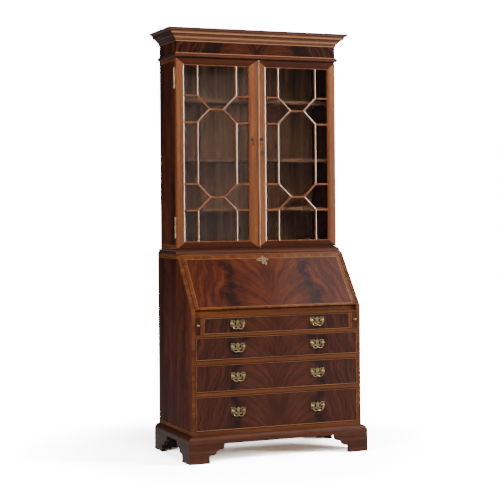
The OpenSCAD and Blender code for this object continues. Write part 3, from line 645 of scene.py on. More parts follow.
def makeCamera():
    eye = bpy.data.cameras.new("viewCamera")
    eye.lens = view["lens"]
    eye.sensor_width = 36
    eye.shift_y = view["rise"]
    eye.clip_end = 60
    holder = addThing("viewCamera", eye)
    yaw, roll = math.radians(view["yaw"]), math.radians(view["roll"])
    ahead = Vector((math.sin(yaw), math.cos(yaw), 0))
    side = Vector((math.cos(yaw), -math.sin(yaw), 0))
    up = Vector((0, 0, 1))
    across = side * math.cos(roll) + up * math.sin(roll)
    upward = up * math.cos(roll) - side * math.sin(roll)
    turn = Matrix((across, upward, -ahead)).transposed().to_4x4()
    holder.matrix_world = Matrix.Translation(view["place"]) @ turn
    scene.camera = holder


lamps = [
    {"name": "keyRight", "place": (4.2, -3.0, 2.3), "aim": (0.0, 0.0, 1.2), "size": (0.9, 3.2),
     "power": 320},
    {"name": "frontHigh", "place": (-0.2, -5.0, 5.2), "aim": (0.0, 0.0, 1.0), "size": (2.2, 1.6),
     "power": 170},
    {"name": "sideLeft", "place": (-4.2, -2.6, 2.4), "aim": (0.0, 0.1, 1.0), "size": (1.2, 2.2),
     "power": 170},
    {"name": "slopeGlow", "place": (2.7, -1.2, 4.6), "aim": (2.7, -1.2, 0.0), "size": (1.9, 2.2),
     "power": 26},
    {"name": "backFill", "place": (1.9, 4.6, 3.4), "aim": (0.0, 0.2, 1.1), "size": (2.2, 2.2), "power": 70},
    {"name": "paneGlow", "place": (1.9, -7.6, 1.7), "aim": (-0.3, 0.0, 1.5), "size": (2.2, 2.2),
     "power": 3.5},
]


# the backdrop is white to the eye and dim to the piece, so the polish keeps its depth;
# the floor whitens between two distances from the middle
studio = {"skySeen": 16.0, "skyLit": 0.06, "floorSeen": 12.0, "floorLit": 0.22, "floorDrop": 0.0005,
          "whiteFrom": 0.7, "whiteTo": 2.0, "nearGlow": 0.05}


def makeLights():
    for lamp in lamps:
        light = bpy.data.lights.new(lamp["name"], "AREA")
        light.shape = "RECTANGLE"
        light.size, light.size_y = lamp["size"]
        light.energy = lamp["power"]
        holder = addThing(lamp["name"], light)
        holder.location = lamp["place"]
        aim = Vector(lamp["aim"]) - Vector(lamp["place"])
        holder.rotation_euler = aim.to_track_quat("-Z", "Y").to_euler()
    sky = bpy.data.worlds.new("studio")
    scene.world = sky
    sky.use_nodes = True
    sky.node_tree.nodes.clear()
    make = Maker(sky.node_tree)
    seen = make.node("ShaderNodeLightPath").outputs["Is Camera Ray"]
    strength = make.node("ShaderNodeMix", {0: seen, 2: studio["skyLit"], 3: studio["skySeen"]}).outputs[0]
    shade = make.node("ShaderNodeBackground", {"Color": (1, 1, 1, 1), "Strength": strength})
    make.node("ShaderNodeOutputWorld", {"Surface": shade.outputs[0]})


def makeFloor():
    bm = bmesh.new()
    bmesh.ops.create_grid(bm, x_segments=1, y_segments=1, size=14)
    mesh = meshOf("studioFloor", bm)
    floor = addThing("studioFloor", mesh)
    floor.location = (0, 0, -studio["floorDrop"])
    material = bpy.data.materials.new("paleFloor")
    material.use_nodes = True
    material.node_tree.nodes.clear()
    make = Maker(material.node_tree)
    rays = make.node("ShaderNodeLightPath").outputs
    seen = rays["Is Camera Ray"]
    tone = make.node("ShaderNodeMix", {0: seen, 2: studio["floorLit"], 3: studio["floorSeen"]}).outputs[0]
    matt = make.node("ShaderNodeBsdfDiffuse", {"Color": make.join(tone, tone, tone)})
    spot = make.node("ShaderNodeTexCoord").outputs["Object"]
    far = make.node("ShaderNodeVectorMath", {0: spot}, operation="LENGTH").outputs["Value"]
    white = make.fit(far, studio["whiteFrom"], studio["whiteTo"], studio["nearGlow"], studio["skySeen"], True)
    # painted reflection: the floor glows for glossy rays only, so the piece reflects a brighter floor than
    # the lamps light
    glowInReflections = make.times(rays["Is Glossy Ray"], studio["floorLit"])
    glow = make.node("ShaderNodeEmission", {"Strength": make.scaled(seen, white, glowInReflections)})
    both = make.node("ShaderNodeAddShader", {0: matt.outputs[0], 1: glow.outputs[0]})
    make.node("ShaderNodeOutputMaterial", {"Surface": both.outputs[0]})
    mesh.materials.append(material)


makeCamera()
makeLights()
makeFloor()
print("camera, lights and floor made")

# moulding lines: the dark colour is painted shadow in the creases and under the beads, the light colour a
# painted highlight on the fillets
paintedShadowLine, paintedHighlightLine = (0.022, 0.006, 0.002, 1), (0.50, 0.23, 0.105, 1)
corniceLines = [(2188, 2.2, paintedHighlightLine), (2194.5, 1.7, paintedShadowLine), (2206, 3.0, paintedHighlightLine), (2222, 1.7, paintedShadowLine),
                (2228, 1.8, paintedHighlightLine), (2238.5, 1.7, paintedShadowLine), (2247.5, 1.2, paintedShadowLine)]
beadLines = [(2104.5, 2.6, paintedShadowLine), (2122, 0.8, paintedShadowLine), (2125, 2.0, paintedHighlightLine)]
# woods; the grain axis is the long way of each board
woods = {
    "corniceFront": linedWood("corniceFront", "crown", 1.0, corniceLines, coat=0.7, rough=0.26),
    "friezeBead": linedWood("friezeBead", "solid", 18.0, beadLines, coat=0.3),
    # the side faces of the cornice, frieze bead, waist, base and feet take a darker tone than their fronts:
    # painted shade on faces turned from the light
    "corniceSideShaded": boardWood("corniceSideShaded", "dark", "y", 2.0),
    "baseFront": boardWood("baseFront", "base", "x", 3.0),
    "baseSideShaded": boardWood("baseSideShaded", "dark", "y", 4.0),
    "stile": boardWood("doorStile", "stile", "z", 5.0),
    "rail": boardWood("shadedDoorRail", "shadedDoorRail", "x", 6.0, coat=0.05, rough=0.42, shine=0.1),
    "bar": boardWood("glazingBarWood", "stile", "z", 7.0, coat=1.0, rough=0.24),
    "blade": bladeWood([(161.5, 336.8), (360, 498.4), (523.3, 639.2), (656.4, 740.4)]),
    "partition": boardWood("partitionWood", "rail", "z", 17.0),
    "inlaidRail": boardWood("inlaidRail", "band", "x", 16.0),
    "inside": boardWood("insideWood", "inside", "x", 12.0, rough=0.5, coat=0.1),
    "insideBack": boardWood("insideBack", "inside", "z", 13.0, rough=0.5, coat=0.1),
    "drawerBox": boardWood("drawerBox", "plain", "y", 14.0, rough=0.6, coat=0.0),
}
metals = {
    "brass": brassMaterial("antiqueBrass", (0.68, 0.53, 0.26), (0.20, 0.145, 0.06), 0.26),
    "hinge": brassMaterial("hingeBrass", (0.78, 0.62, 0.32), (0.42, 0.30, 0.13), 0.28, 0.9),
    "dark": brassMaterial("darkBrass", (0.15, 0.115, 0.065), (0.035, 0.027, 0.016), 0.38),
}
glass = glassMaterial()
print("materials made")


# each moulding's lowest height, the planes it stands out from, its woods, and the node it stands for
mouldings = {
    "crownMoulding": {"low": book["total"] - 68, "half": book["half"], "face": 0, "front": "corniceFront",
                      "sides": "corniceSideShaded", "node": "cornice"},
    "friezeAstragal": {"low": book["total"] - 151, "half": book["half"], "face": 0, "front": "friezeBead",
                       "sides": "corniceSideShaded", "node": "frieze_bead"},
    "waistMoulding": {"low": desk["top"], "half": book["half"], "face": 0, "front": "baseFront",
                      "sides": "baseSideShaded", "node": "waist_moulding"},
    "baseMoulding": {"low": desk["footTop"], "half": desk["half"], "face": desk["front"],
                     "front": "baseFront", "sides": "baseSideShaded", "node": "base_moulding"},
}


# a profile of stand-out and height is taken round the front and both sides, with mitres
def mouldingRun(name, profile):
    look = mouldings[name]
    half, face, back = look["half"], look["face"], desk["back"]
    bm = bmesh.new()
    paths = []
    for out, height in profile:
        z = look["low"] + height
        paths.append([(-half - out, back, z), (-half - out, face - out, z),
                      (half + out, face - out, z), (half + out, back, z)])
    made = [[bm.verts.new(path[k]) for path in paths] for k in range(4)]
    count = len(profile)
    for k, slot in enumerate((1, 0, 1)):    # left side, front, right side
        for i in range(count):
            j = (i + 1) % count
            bm.faces.new((made[k][i], made[k][j], made[k + 1][j], made[k + 1][i])).material_index = slot
    for ring in (made[0], made[3]):
        bm.faces.new(ring).material_index = 1
    piece(name, bm, "carcass", [woods[look["front"]], woods[look["sides"]]], [look["node"]],
          bevel=0.35, sharp=30)


def makeMouldings():
    crown = [(0, 0.2), (0.8, 0.2), (5.0, 6), (6.0, 8), (6.2, 14)]
    crown += arc(6.5, 21, 6.5, -80, -12, 8) + arc(29, 19, 12.5, 172, 100, 12)
    crown += [(27, 35), (37.5, 37), (39, 40), (39.6, 44), (41, 52)] + arc(42, 64, 11.5, -88, -24, 12)
    crown += [(55, 61), (57.5, 62), (57.5, 68), (0, 68)]
    mouldingRun("crownMoulding", crown)
    bead = [(0, 0)] + [(max(0.1, x), y) for x, y in arc(0, 10, 11, -66, 66, 16)][:-1]
    bead += [(4.6, 20.2), (4.6, 23), (0, 24)]
    mouldingRun("friezeAstragal", bead)
    cove = [(0, 0), (16, 0), (17, 1), (17, 4)] + arc(24, 15, 12, 215, 140, 14)
    cove += [(6, 23), (2, 25), (0, 25)]
    mouldingRun("waistMoulding", cove)
    swell = [(0, 0), (25, 0), (26, 1), (26, 13)] + arc(-2.5, 16, 28.5, 0, 84, 18) + [(0, 44.5)]
    mouldingRun("baseMoulding", swell)


makeMouldings()
print("mouldings made")


# bracket feet: a shaped board on each face, mitred at the front corners
foot = {"out": 26, "thick": 21, "tall": 96.9}


def bracketOutline(extra=0):
    line = [(0, 0), (112 + extra, 0), (112 + extra, 39), (133 + extra, 40.5)]
    line += arc(134 + extra, 57, 16, -80, -8, 10) + [(155 + extra, 59)]
    line += arc(155 + extra, 75, 12, -80, -40, 6)
    line += [(172 + extra, 67), (184 + extra, 69)] + arc(178 + extra, 82, 14, -40, 20, 8)
    return line + [(196 + extra, 96.95), (0, 96.95)]


def bracketBoard(bm, outline, outer, inner, slot):
    front = [bm.verts.new(outer(s, z)) for s, z in outline]
    back = [bm.verts.new(inner(s, z)) for s, z in outline]
    bm.faces.new(front).material_index = slot
    bm.faces.new(back).material_index = slot
    for i in range(len(front)):
        j = (i + 1) % len(front)
        bm.faces.new((front[i], front[j], back[j], back[i])).material_index = slot


def makeFeet():
    cx, cy = desk["half"] + foot["out"], desk["front"] - foot["out"]
    thick, back = foot["thick"], desk["back"]
    for end, replaced in (("front", "front_feet"), ("back", "back_feet")):
        bm = bmesh.new()
        for s in (-1, 1):
            if end == "front":
                bracketBoard(bm, bracketOutline(), lambda a, z: (s * (cx - a), cy, z),
                             lambda a, z: (s * (cx - max(a, thick)), cy + thick, z), 0)
                bracketBoard(bm, bracketOutline(), lambda a, z: (s * cx, cy + a + 0.1, z),
                             lambda a, z: (s * (cx - thick), cy + max(a, thick) + 0.1, z), 1)
                cornerLow = cy + thick + 0.1
            else:
                bracketBoard(bm, bracketOutline(6), lambda a, z: (s * cx, back - a, z),
                             lambda a, z: (s * (cx - thick), back - a, z), 1)
                sideBox(bm, s, cx - thick - 0.1, cx - thick - 110, back - thick, back, 0, foot["tall"])
                cornerLow = back - thick - 50
            sideBox(bm, s, cx - thick - 50, cx - thick - 0.1, cornerLow, cornerLow + 49.9, 3, foot["tall"])
        piece(end + "BracketFeet", bm, "carcass", [woods["baseFront"], woods["baseSideShaded"]], [replaced],
              bevel=0.9, sharp=32)


makeFeet()
print("feet made")


# a rectangular frame: each ring is a rectangle in X and Z at one depth; bottom, right, top, left have slots
def frameRings(bm, rings, slots, lip):
    made = []
    for (x0, x1, z0, z1), y in rings:
        made.append([bm.verts.new(p) for p in ((x0, y, z0), (x1, y, z0), (x1, y, z1), (x0, y, z1))])
    for k, (a, b) in enumerate(zip(made, made[1:] + made[:1])):
        for i in range(4):
            j = (i + 1) % 4
            bm.faces.new((a[i], a[j], b[j], b[i])).material_index = 2 if k == lip else slots[i]


door = {"outer": (0.75, book["half"], book["doorLow"], book["doorHigh"]), "sight": (50, 418, 1128, 2062),
        "thick": book["doorThick"], "rebate": 7, "paneFrom": 14, "sharp": 18}
hinge = {"feet": (1146, 1938), "tall": 110, "x": 465, "y": 27.5, "knuckle": 22, "play": 0.3}


def grow(rect, by):
    return (rect[0] - by, rect[1] + by, rect[2] - by, rect[3] + by)


def makeDoorFrame(side, word):
    bm = bmesh.new()
    outer, sight = door["outer"], door["sight"]
    recess = grow(sight, door["rebate"])
    rings = [(outer, door["thick"]), (outer, 0.8), (grow(outer, -0.3), 0.25), (grow(outer, -0.8), 0)]
    rings += [(grow(sight, 9.2), 0), (grow(sight, 8.9), 0.2), (grow(sight, 8.7), 1.3)]
    rings += [(grow(sight, 8.6 - 4.3 * math.sin(t)), 5.6 - 4.3 * math.cos(t))
              for t in [math.pi * i / 16 for i in range(9)]]
    lip = len(rings)
    rings += [(grow(sight, 4.3), 5.9), (sight, 7.2), (sight, door["paneFrom"])]
    rings += [(recess, door["paneFrom"]), (recess, door["thick"])]
    frameRings(bm, rings, (1, 0, 1, 0), lip)
    if side < 0:
        bmesh.ops.transform(bm, matrix=Matrix.Scale(-1, 4, (1, 0, 0)), verts=bm.verts[:])
    body = "door_" + word.lower()
    made = piece("doorFrame" + word, bm, body, [woods["stile"], woods["rail"], woods["bar"]],
                 [body + "_frame"],
                 sharp=door["sharp"])
    cutters = bmesh.new()
    play, tall = hinge["play"], hinge["tall"]
    for z in hinge["feet"]:
        tube = [(0, 0), (4.4, 0), (4.4, tall + 2 * play), (0, tall + 2 * play)]
        lathe(cutters, tube, (side * hinge["x"], hinge["y"], z - play), (0, 0, 1), 24)
        sideBox(cutters, side, 445.3, 463.5, 25.3, 28, z - play, z + tall + play)
    bmesh.ops.recalc_face_normals(cutters, faces=cutters.faces[:])
    bmesh.ops.transform(cutters, matrix=Matrix.Scale(mm, 4), verts=cutters.verts[:])
    tool = addThing("cutters", meshOf("cutters", cutters))
    cut = made.modifiers.new("mortise", "BOOLEAN")
    cut.operation = "DIFFERENCE"
    cut.solver = "EXACT"
    cut.use_self = True
    cut.object = tool
    bake(made)
    bpy.data.objects.remove(tool)
    made.data.set_sharp_from_angle(angle=math.radians(door["sharp"]))


# the evaluated mesh takes the place of the drawn one, and the modifiers go
def bake(thing):
    bpy.context.view_layer.update()
    drawn = thing.evaluated_get(bpy.context.evaluated_depsgraph_get())
    mesh = bpy.data.meshes.new_from_object(drawn)
    thing.modifiers.clear()
    thing.data = mesh


for side, word in hands:
    makeDoorFrame(side, word)
print("door frames made")


# grows a tree on an object, and leaves it a plain mesh
def growWith(thing, tree, sockets, **values):
    grown = thing.modifiers.new(tree.name, "NODES")
    grown.node_group = tree
    for label, value in values.items():
        grown[sockets[label]] = value
    bake(thing)


# a Geometry Nodes tree with named inputs, and the identifiers by which a modifier sets them
def repeatTree(name, **inputs):
    tree = bpy.data.node_groups.new(name, "GeometryNodeTree")
    tree.is_modifier = True
    face = tree.interface
    face.new_socket("Geometry", in_out="INPUT", socket_type="NodeSocketGeometry")
    sockets = {label: face.new_socket(label, in_out="INPUT", socket_type="NodeSocket" + kind).identifier
               for label, kind in inputs.items()}
    face.new_socket("Geometry", in_out="OUTPUT", socket_type="NodeSocketGeometry")
    make = Maker(tree)
    return tree, sockets, make, make.node("NodeGroupInput").outputs, make.node("NodeGroupOutput").inputs


# glazing bars grow on a lattice of edges: one moulded bar on each edge, and a boss at each crossing
def buildBarTree():
    kinds = {"Section": "Object", "Boss": "Object", "Wood": "Material"}
    tree, sockets, make, given, out = repeatTree("glazingBars", **kinds)
    ends = make.node("GeometryNodeInputMeshEdgeVertices").outputs
    span = make.node("ShaderNodeVectorMath", {0: ends["Position 2"], 1: ends["Position 1"]},
                     operation="SUBTRACT").outputs[0]
    kept = make.node("GeometryNodeStoreNamedAttribute",
                     {"Geometry": given[0], "Name": "span", "Value": span},
                     data_type="FLOAT_VECTOR", domain="EDGE").outputs[0]
    mids = make.node("GeometryNodeMeshToPoints", {"Mesh": kept}, mode="EDGES").outputs[0]
    spread = make.node("GeometryNodeInputNamedAttribute", {"Name": "span"},
                       data_type="FLOAT_VECTOR").outputs[0]
    along = make.xyz(spread)
    turn = make.join(0.0, make.calc("ARCTAN2", along["X"], along["Z"]), 0.0)
    length = make.node("ShaderNodeVectorMath", {0: spread}, operation="LENGTH").outputs["Value"]
    section = make.node("GeometryNodeObjectInfo", {"Object": given["Section"]}).outputs["Geometry"]
    bars = make.node("GeometryNodeInstanceOnPoints", {"Points": mids, "Instance": section, "Rotation": turn,
                                                      "Scale": make.join(1.0, 1.0, length)}).outputs[0]
    near = make.node("GeometryNodeInputMeshVertexNeighbors").outputs[0]
    inner = make.node("FunctionNodeCompare", {2: near, 3: 1}, data_type="INT",
                      operation="GREATER_THAN").outputs[0]
    boss = make.node("GeometryNodeObjectInfo", {"Object": given["Boss"]}).outputs["Geometry"]
    bosses = make.node("GeometryNodeInstanceOnPoints",
                       {"Points": given[0], "Selection": inner, "Instance": boss}).outputs[0]
    joined = make.node("GeometryNodeJoinGeometry")
    for part in (bars, bosses):
        tree.links.new(part, joined.inputs[0])
    real = make.node("GeometryNodeRealizeInstances", {0: joined.outputs[0]}).outputs[0]
    make.feed(out[0], make.node("GeometryNodeSetMaterial",
                                {"Geometry": real, "Material": given["Wood"]}).outputs[0])
    return tree, sockets


def barSection():
    bm = bmesh.new()
    half = [(5, 9.4), (5, 6.6), (4.7, 5.2), (4.0, 4.35), (0.7, 3.25), (0, 3.15)]
    ring = [(2.2, 13.95), (2.2, 9.4)] + half
    ring += [(-x, y) for x, y in reversed(ring) if x > 0.01]
    bottom, top = [[(x, y, z) for x, y in ring] for z in (-500, 500)]
    loft(bm, [bottom, top])
    return drawn("barSection", bm, 32)


def barBoss():
    bm = bmesh.new()
    profile = [(0, -13.9), (2.6, -13.9), (2.6, -9.4), (5.3, -9.4), (5.3, -6.4), (4.9, -5.0), (4.0, -4.2),
               (0, -2.95)]
    lathe(bm, profile, (0, 0, 0), (0, -1, 0), 20)
    return drawn("barBoss", bm, 32)


lattice = {"uprights": (122.5, 344), "tips": (195.1, 274.1), "rows": (1291.4, 1432, 1759, 1901.4),
           "tipRows": (1361.7, 1830.2)}


def makeBars(tree, sockets, section, boss, side, word):
    edges, points = [], []

    def spot(x, z):
        point = (round(side * x * mm, 6), 0.0, round(z * mm, 6))
        if point not in points:
            points.append(point)
        return points.index(point)

    sight = door["sight"]
    rows, tipRows = lattice["rows"], lattice["tipRows"]
    for k in range(2):
        x, edge, tip = lattice["uprights"][k], (sight[0], sight[1])[k], lattice["tips"][k]
        for low, high in ((sight[2], rows[0]), (rows[1], rows[2]), (rows[3], sight[3])):
            edges.append((spot(x, low), spot(x, high)))
        for i, z in enumerate(rows):
            edges.append((spot(edge, z), spot(x, z)))
            edges.append((spot(x, z), spot(tip, tipRows[i // 2])))
    for z in tipRows:
        edges.append((spot(lattice["tips"][0], z), spot(lattice["tips"][1], z)))
    mesh = bpy.data.meshes.new("glazingBars" + word)
    mesh.from_pydata(points, edges, [])
    made = addThing("glazingBars" + word, mesh)
    growWith(made, tree, sockets, Section=section, Boss=boss, Wood=woods["bar"])
    body = "door_" + word.lower()
    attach(made, body)
    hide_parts(body + "_bars")


def makeAllBars():
    tree, sockets = buildBarTree()
    section, boss = barSection(), barBoss()
    for side, word in hands:
        makeBars(tree, sockets, section, boss, side, word)
    bpy.data.objects.remove(section)
    bpy.data.objects.remove(boss)
    bm = bmesh.new()
    shape = [(0.8, -0.05), (0.8, -1.8), (1.6, -3.3), (2.6, -4.1), (5.6, -5.1), (6.4, -5.1), (9.4, -4.1),
             (10.4, -3.3),
             (11.2, -1.8), (11.2, -0.05)]
    loft(bm, [[(x, y, z) for x, y in shape] for z in (book["doorLow"], book["doorHigh"])])
    piece("meetingBead", bm, "door_right", [woods["bar"]], ["meeting_bead"], sharp=34)


makeAllBars()
print("glazing bars made")


# veneers that need their own figure
fallLook = {"foot": 0.17, "lean": 0.95, "plume": 0.235, "size": 1.0, "seed": 2.0, "band": "band",
            "shift": -0.0056, "line": 0.0015, "lineColour": (0.42, 0.22, 0.08, 1), "rim": 0.4577}
friezeLook = {"foot": 0.055, "lean": 0.85, "plume": 0.27, "size": 0.30, "seed": 9.0, "band": None,
              "tone": "frieze", "finish": {"coat": 0.06, "rough": 0.4, "shine": 0.1}}
lowerSideLook = {"middle": 0.02, "foot": 0.30, "lean": 1.0, "plume": 0.17, "size": 0.8, "seed": 4.0,
                 "tone": "flame", "bands": [(0.144, 0.156), (1.040, 1.051)], "front": -0.251, "slope": True,
                 "paintedFrontLightAmount": 0.22, "finish": {"coat": 0.03, "rough": 0.42, "shine": 0.08}}
upperSideLook = {"middle": 0.15, "foot": 1.30, "lean": 1.2, "plume": 0.10, "size": 1.3, "seed": 6.0,
                 "tone": "flame", "bands": [(1.090, 1.107), (2.087, 2.105)], "front": 0.028, "slope": False,
                 "paintedFrontLightAmount": 0.0, "finish": {"coat": 0.08, "shine": 0.12}}
woods["fall"] = panelVeneer("fallVeneer", (0, 0.14324, -0.918), (0.436, 0.1518), fallLook, -desk["slope"])
woods["frieze"] = panelVeneer("friezeVeneer", (0, 0, -2.1447), (0.46, 0.04), friezeLook)
woods["sideLow"] = sideVeneer("lowerSideVeneer", lowerSideLook)
woods["sideHigh"] = sideVeneer("upperSideVeneer", upperSideLook)

drawers = {1: {"middle": 698.4, "half": 414.5, "tall": 83, "handle": 706.8},
           2: {"middle": 581.25, "half": 457.5, "tall": 114.9, "handle": 588.15},
           3: {"middle": 429.2, "half": 457.5, "tall": 137.4, "handle": 437.4},
           4: {"middle": 249.15, "half": 457.5, "tall": 174.3, "handle": 256.95}}
for number, spec in drawers.items():
    veneer = {"foot": 0.10 + 0.02 * number, "lean": 0.75, "plume": 0.235, "size": 0.8,
              "seed": 20.0 + number, "band": None, "beadFrom": -0.25045, "tone": "drawer"}
    middle, half = (0, 0, -spec["middle"] * mm), (spec["half"] * mm, spec["tall"] * mm / 2)
    drawerWood = panelVeneer("drawerVeneer%d" % number, middle, half, veneer)
    dress("drawer_%d_front" % number, drawerWood, 1.3)
    dress("drawer_%d_box" % number, woods["drawerBox"], 0.6)

plainNodes = {"lower_side_left": "sideLow", "lower_side_right": "sideLow", "upper_side_left": "sideHigh",
              "upper_side_right": "sideHigh", "lower_back_panel": "insideBack",
              "upper_back_panel": "insideBack",
              "dust_boards": "drawerBox", "drawer_runners": "partition", "drawer_blades": "blade",
              "writing_deck": "inlaidRail",
              "desk_top_board": "inlaidRail", "gallery_case": "inside", "upper_boards": "rail",
              "bookcase_shelves": "inside",
              "frieze_board": "frieze", "fall_board": "fall", "small_drawer_left": "inside",
              "small_drawer_right": "inside"}
for name, wood in plainNodes.items():
    dress(name, woods[wood], 1.2 if name == "fall_board" else 0.7)
for name in ("door_left_glass", "door_right_glass"):
    dress(name, glass, 0.2)
dress("case_brass", metals["hinge"], 0.15)
print("boards and veneers dressed")


# upright on the front: local X across, local Y up, local Z out of the face
def onFront(x, y, z):
    return Matrix(((1, 0, 0, x), (0, 0, -1, y), (0, 1, 0, z), (0, 0, 0, 1)))


def ellipse(cx, cy, rx, ry, steps=14, turn=0.0):
    ring = []
    for i in range(steps):
        t = 2 * math.pi * i / steps
        u, v = rx * math.cos(t), ry * math.sin(t)
        ring.append((cx + u * math.cos(turn) - v * math.sin(turn),
                     cy + u * math.sin(turn) + v * math.cos(turn)))
    return ring


handle = {"x": 225.6, "face": -250.05, "axis": -259, "post": 34.2, "plate": 1.7}
plateHalf = [(0, 18.6), (4.5, 17.6), (7, 13.2), (11, 10.8), (14.5, 12.6), (19, 17.4), (25, 18.4),
             (29, 15.2), (33, 18.0),
             (37.5, 16.6), (39.6, 12.0), (37.6, 8.0), (39.8, 3.2), (40.0, -3.2), (37.6, -7.4),
             (39.2, -11.4), (36.5, -16.0),
             (31, -17.2), (27, -13.8), (22, -16.6), (16, -14.8), (11.5, -17.4), (6.5, -15.6), (3.6, -19.8),
             (0, -24.0)]
plateHoles = [ellipse(13.0, 0.2, 5.2, 9.6, 16, -0.16), ellipse(3.9, -8.6, 2.4, 4.8, 12, -0.2),
              ellipse(23.4, 10.4, 5.2, 4.2, 12, 0.2),
              ellipse(23.0, -8.6, 5.4, 4.4, 12, -0.2), ellipse(33.4, 11.8, 3.2, 3.6, 12, 0.3),
              ellipse(33.0, -11.2, 3.4, 3.4, 12)]
bailPath = [(35.2, 0), (31.5, 0), (29.0, -0.6), (28.0, -3.5), (28.8, -8.5), (29.2, -13.5), (27.0, -19.5),
            (21.5, -24.6),
            (14.0, -27.0), (7.5, -26.2), (3.0, -24.0), (0, -23.2)]


def makeHandles():
    outline = smoothLoop(mirrored(plateHalf), 4)
    holes = plateHoles + [[(-x, y) for x, y in hole][::-1] for hole in plateHoles]
    halfPath = smoothPath([(x, 0, z) for x, z in bailPath], 4)
    path = halfPath + [Vector((-p.x, 0, p.z)) for p in halfPath[-2::-1]]
    reach = [abs(p.x) for p in path]
    radii = [1.5 if r > 29.3 else 2.0 + 0.9 * max(0, 1 - r / 16) for r in reach]
    post = [(0, 0), (5.6, 0), (5.6, 0.7), (4.4, 1.5), (3.0, 2.2), (2.7, 3.6), (3.4, 4.6), (3.9, 6.4),
            (3.9, 8.6), (3.3, 10.4),
            (2.0, 11.3), (0, 11.5)]
    for number, spec in drawers.items():
        bm = bmesh.new()
        for side in (-1, 1):
            spot = (side * handle["x"], handle["face"], spec["handle"])
            plate(bm, outline, holes, handle["plate"], onFront(*spot))
            for x in (-handle["post"], handle["post"]):
                lathe(bm, post, (spot[0] + x, spot[1] - 1.6, spot[2]), (0, -1, 0), 20)
        piece("backPlates%d" % number, bm, "drawer_%d" % number, [metals["brass"]],
              ["drawer_%d_plates" % number],
              bevel=0.4, rounds=2, sharp=32)
        for side, word in hands:
            bm = bmesh.new()
            centre = Vector((side * handle["x"], handle["axis"], spec["handle"]))
            rod(bm, [p + centre for p in path], radii, 14)
            body = "bail_%d_%s" % (number, word.lower())
            piece("swanBail%d%s" % (number, word), bm, body, [metals["brass"]], [body], sharp=60)


makeHandles()
print("handles made")


# screws set over a few points; each turned by its own seeded amount
def buildScrewTree():
    tree, names, make, given, out = repeatTree("screwRows", Screw="Object", Tilt="Vector", Metal="Material")
    spin = make.node("FunctionNodeRandomValue", data_type="FLOAT")
    spin.inputs[2].default_value = 0.0
    spin.inputs[3].default_value = math.pi
    spin.inputs["Seed"].default_value = 11
    screw = make.node("GeometryNodeObjectInfo", {"Object": given["Screw"]}).outputs["Geometry"]
    placed = make.node("GeometryNodeInstanceOnPoints", {"Points": given[0], "Instance": screw,
                                                        "Rotation": given["Tilt"]}).outputs[0]
    turned = make.node("GeometryNodeRotateInstances",
                       {"Instances": placed, "Rotation": make.join(0.0, 0.0, spin.outputs[1]),
                                                       "Local Space": True}).outputs[0]
    real = make.node("GeometryNodeRealizeInstances", {0: turned}).outputs[0]
    make.feed(out[0], make.node("GeometryNodeSetMaterial",
                                {"Geometry": real, "Material": given["Metal"]}).outputs[0])
    return tree, names


def screwHead():
    bm = bmesh.new()
    lathe(bm, [(0, 0), (1.9, 0), (1.9, 0.12), (1.5, 0.3), (0, 0.42)], (0, 0, 0), (0, 0, 1), 16)
    box(bm, (-1.5, -0.16, 0.30), (1.5, 0.16, 0.46), 0)
    return drawn("screwHead", bm, 32)


def makeScrews(name, points, tilt, body, tree, names, screw):
    mesh = bpy.data.meshes.new(name)
    mesh.from_pydata([(x * mm, y * mm, z * mm) for x, y, z in points], [], [])
    made = addThing(name, mesh)
    growWith(made, tree, names, Screw=screw, Tilt=tilt, Metal=metals["dark"])
    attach(made, body)


pull = {"x": {"Left": -33, "Right": 24}, "y": -13, "z": 1675}
key = {"x": 27, "z": 1600, "bow": (5.2, 6.6), "bowY": -16, "wire": 1.4, "from": 8}
# a rosette with a fork for the drop, turned on the lathe
rosetteShape = [(0, 0), (11.3, 0), (11.5, 0.6), (11.1, 1.5), (9.6, 2.1), (9.0, 1.7), (8.2, 1.9), (7.6, 3.0),
                (6.2, 3.9),
                (5.0, 4.1), (4.2, 4.9), (3.8, 7.2), (4.1, 8.6), (3.4, 9.4), (0, 9.6)]
dropShape = [(0, -33.0), (1.2, -32.8), (3.2, -31.6), (4.7, -29.3), (4.9, -27.0), (4.2, -24.6), (2.8, -22.4),
             (1.9, -19.8),
             (1.7, -17.6), (2.6, -16.9), (2.6, -16.0), (1.6, -15.2), (1.4, -9.0), (1.5, -4.0), (2.4, -2.4),
             (0, -1.6)]


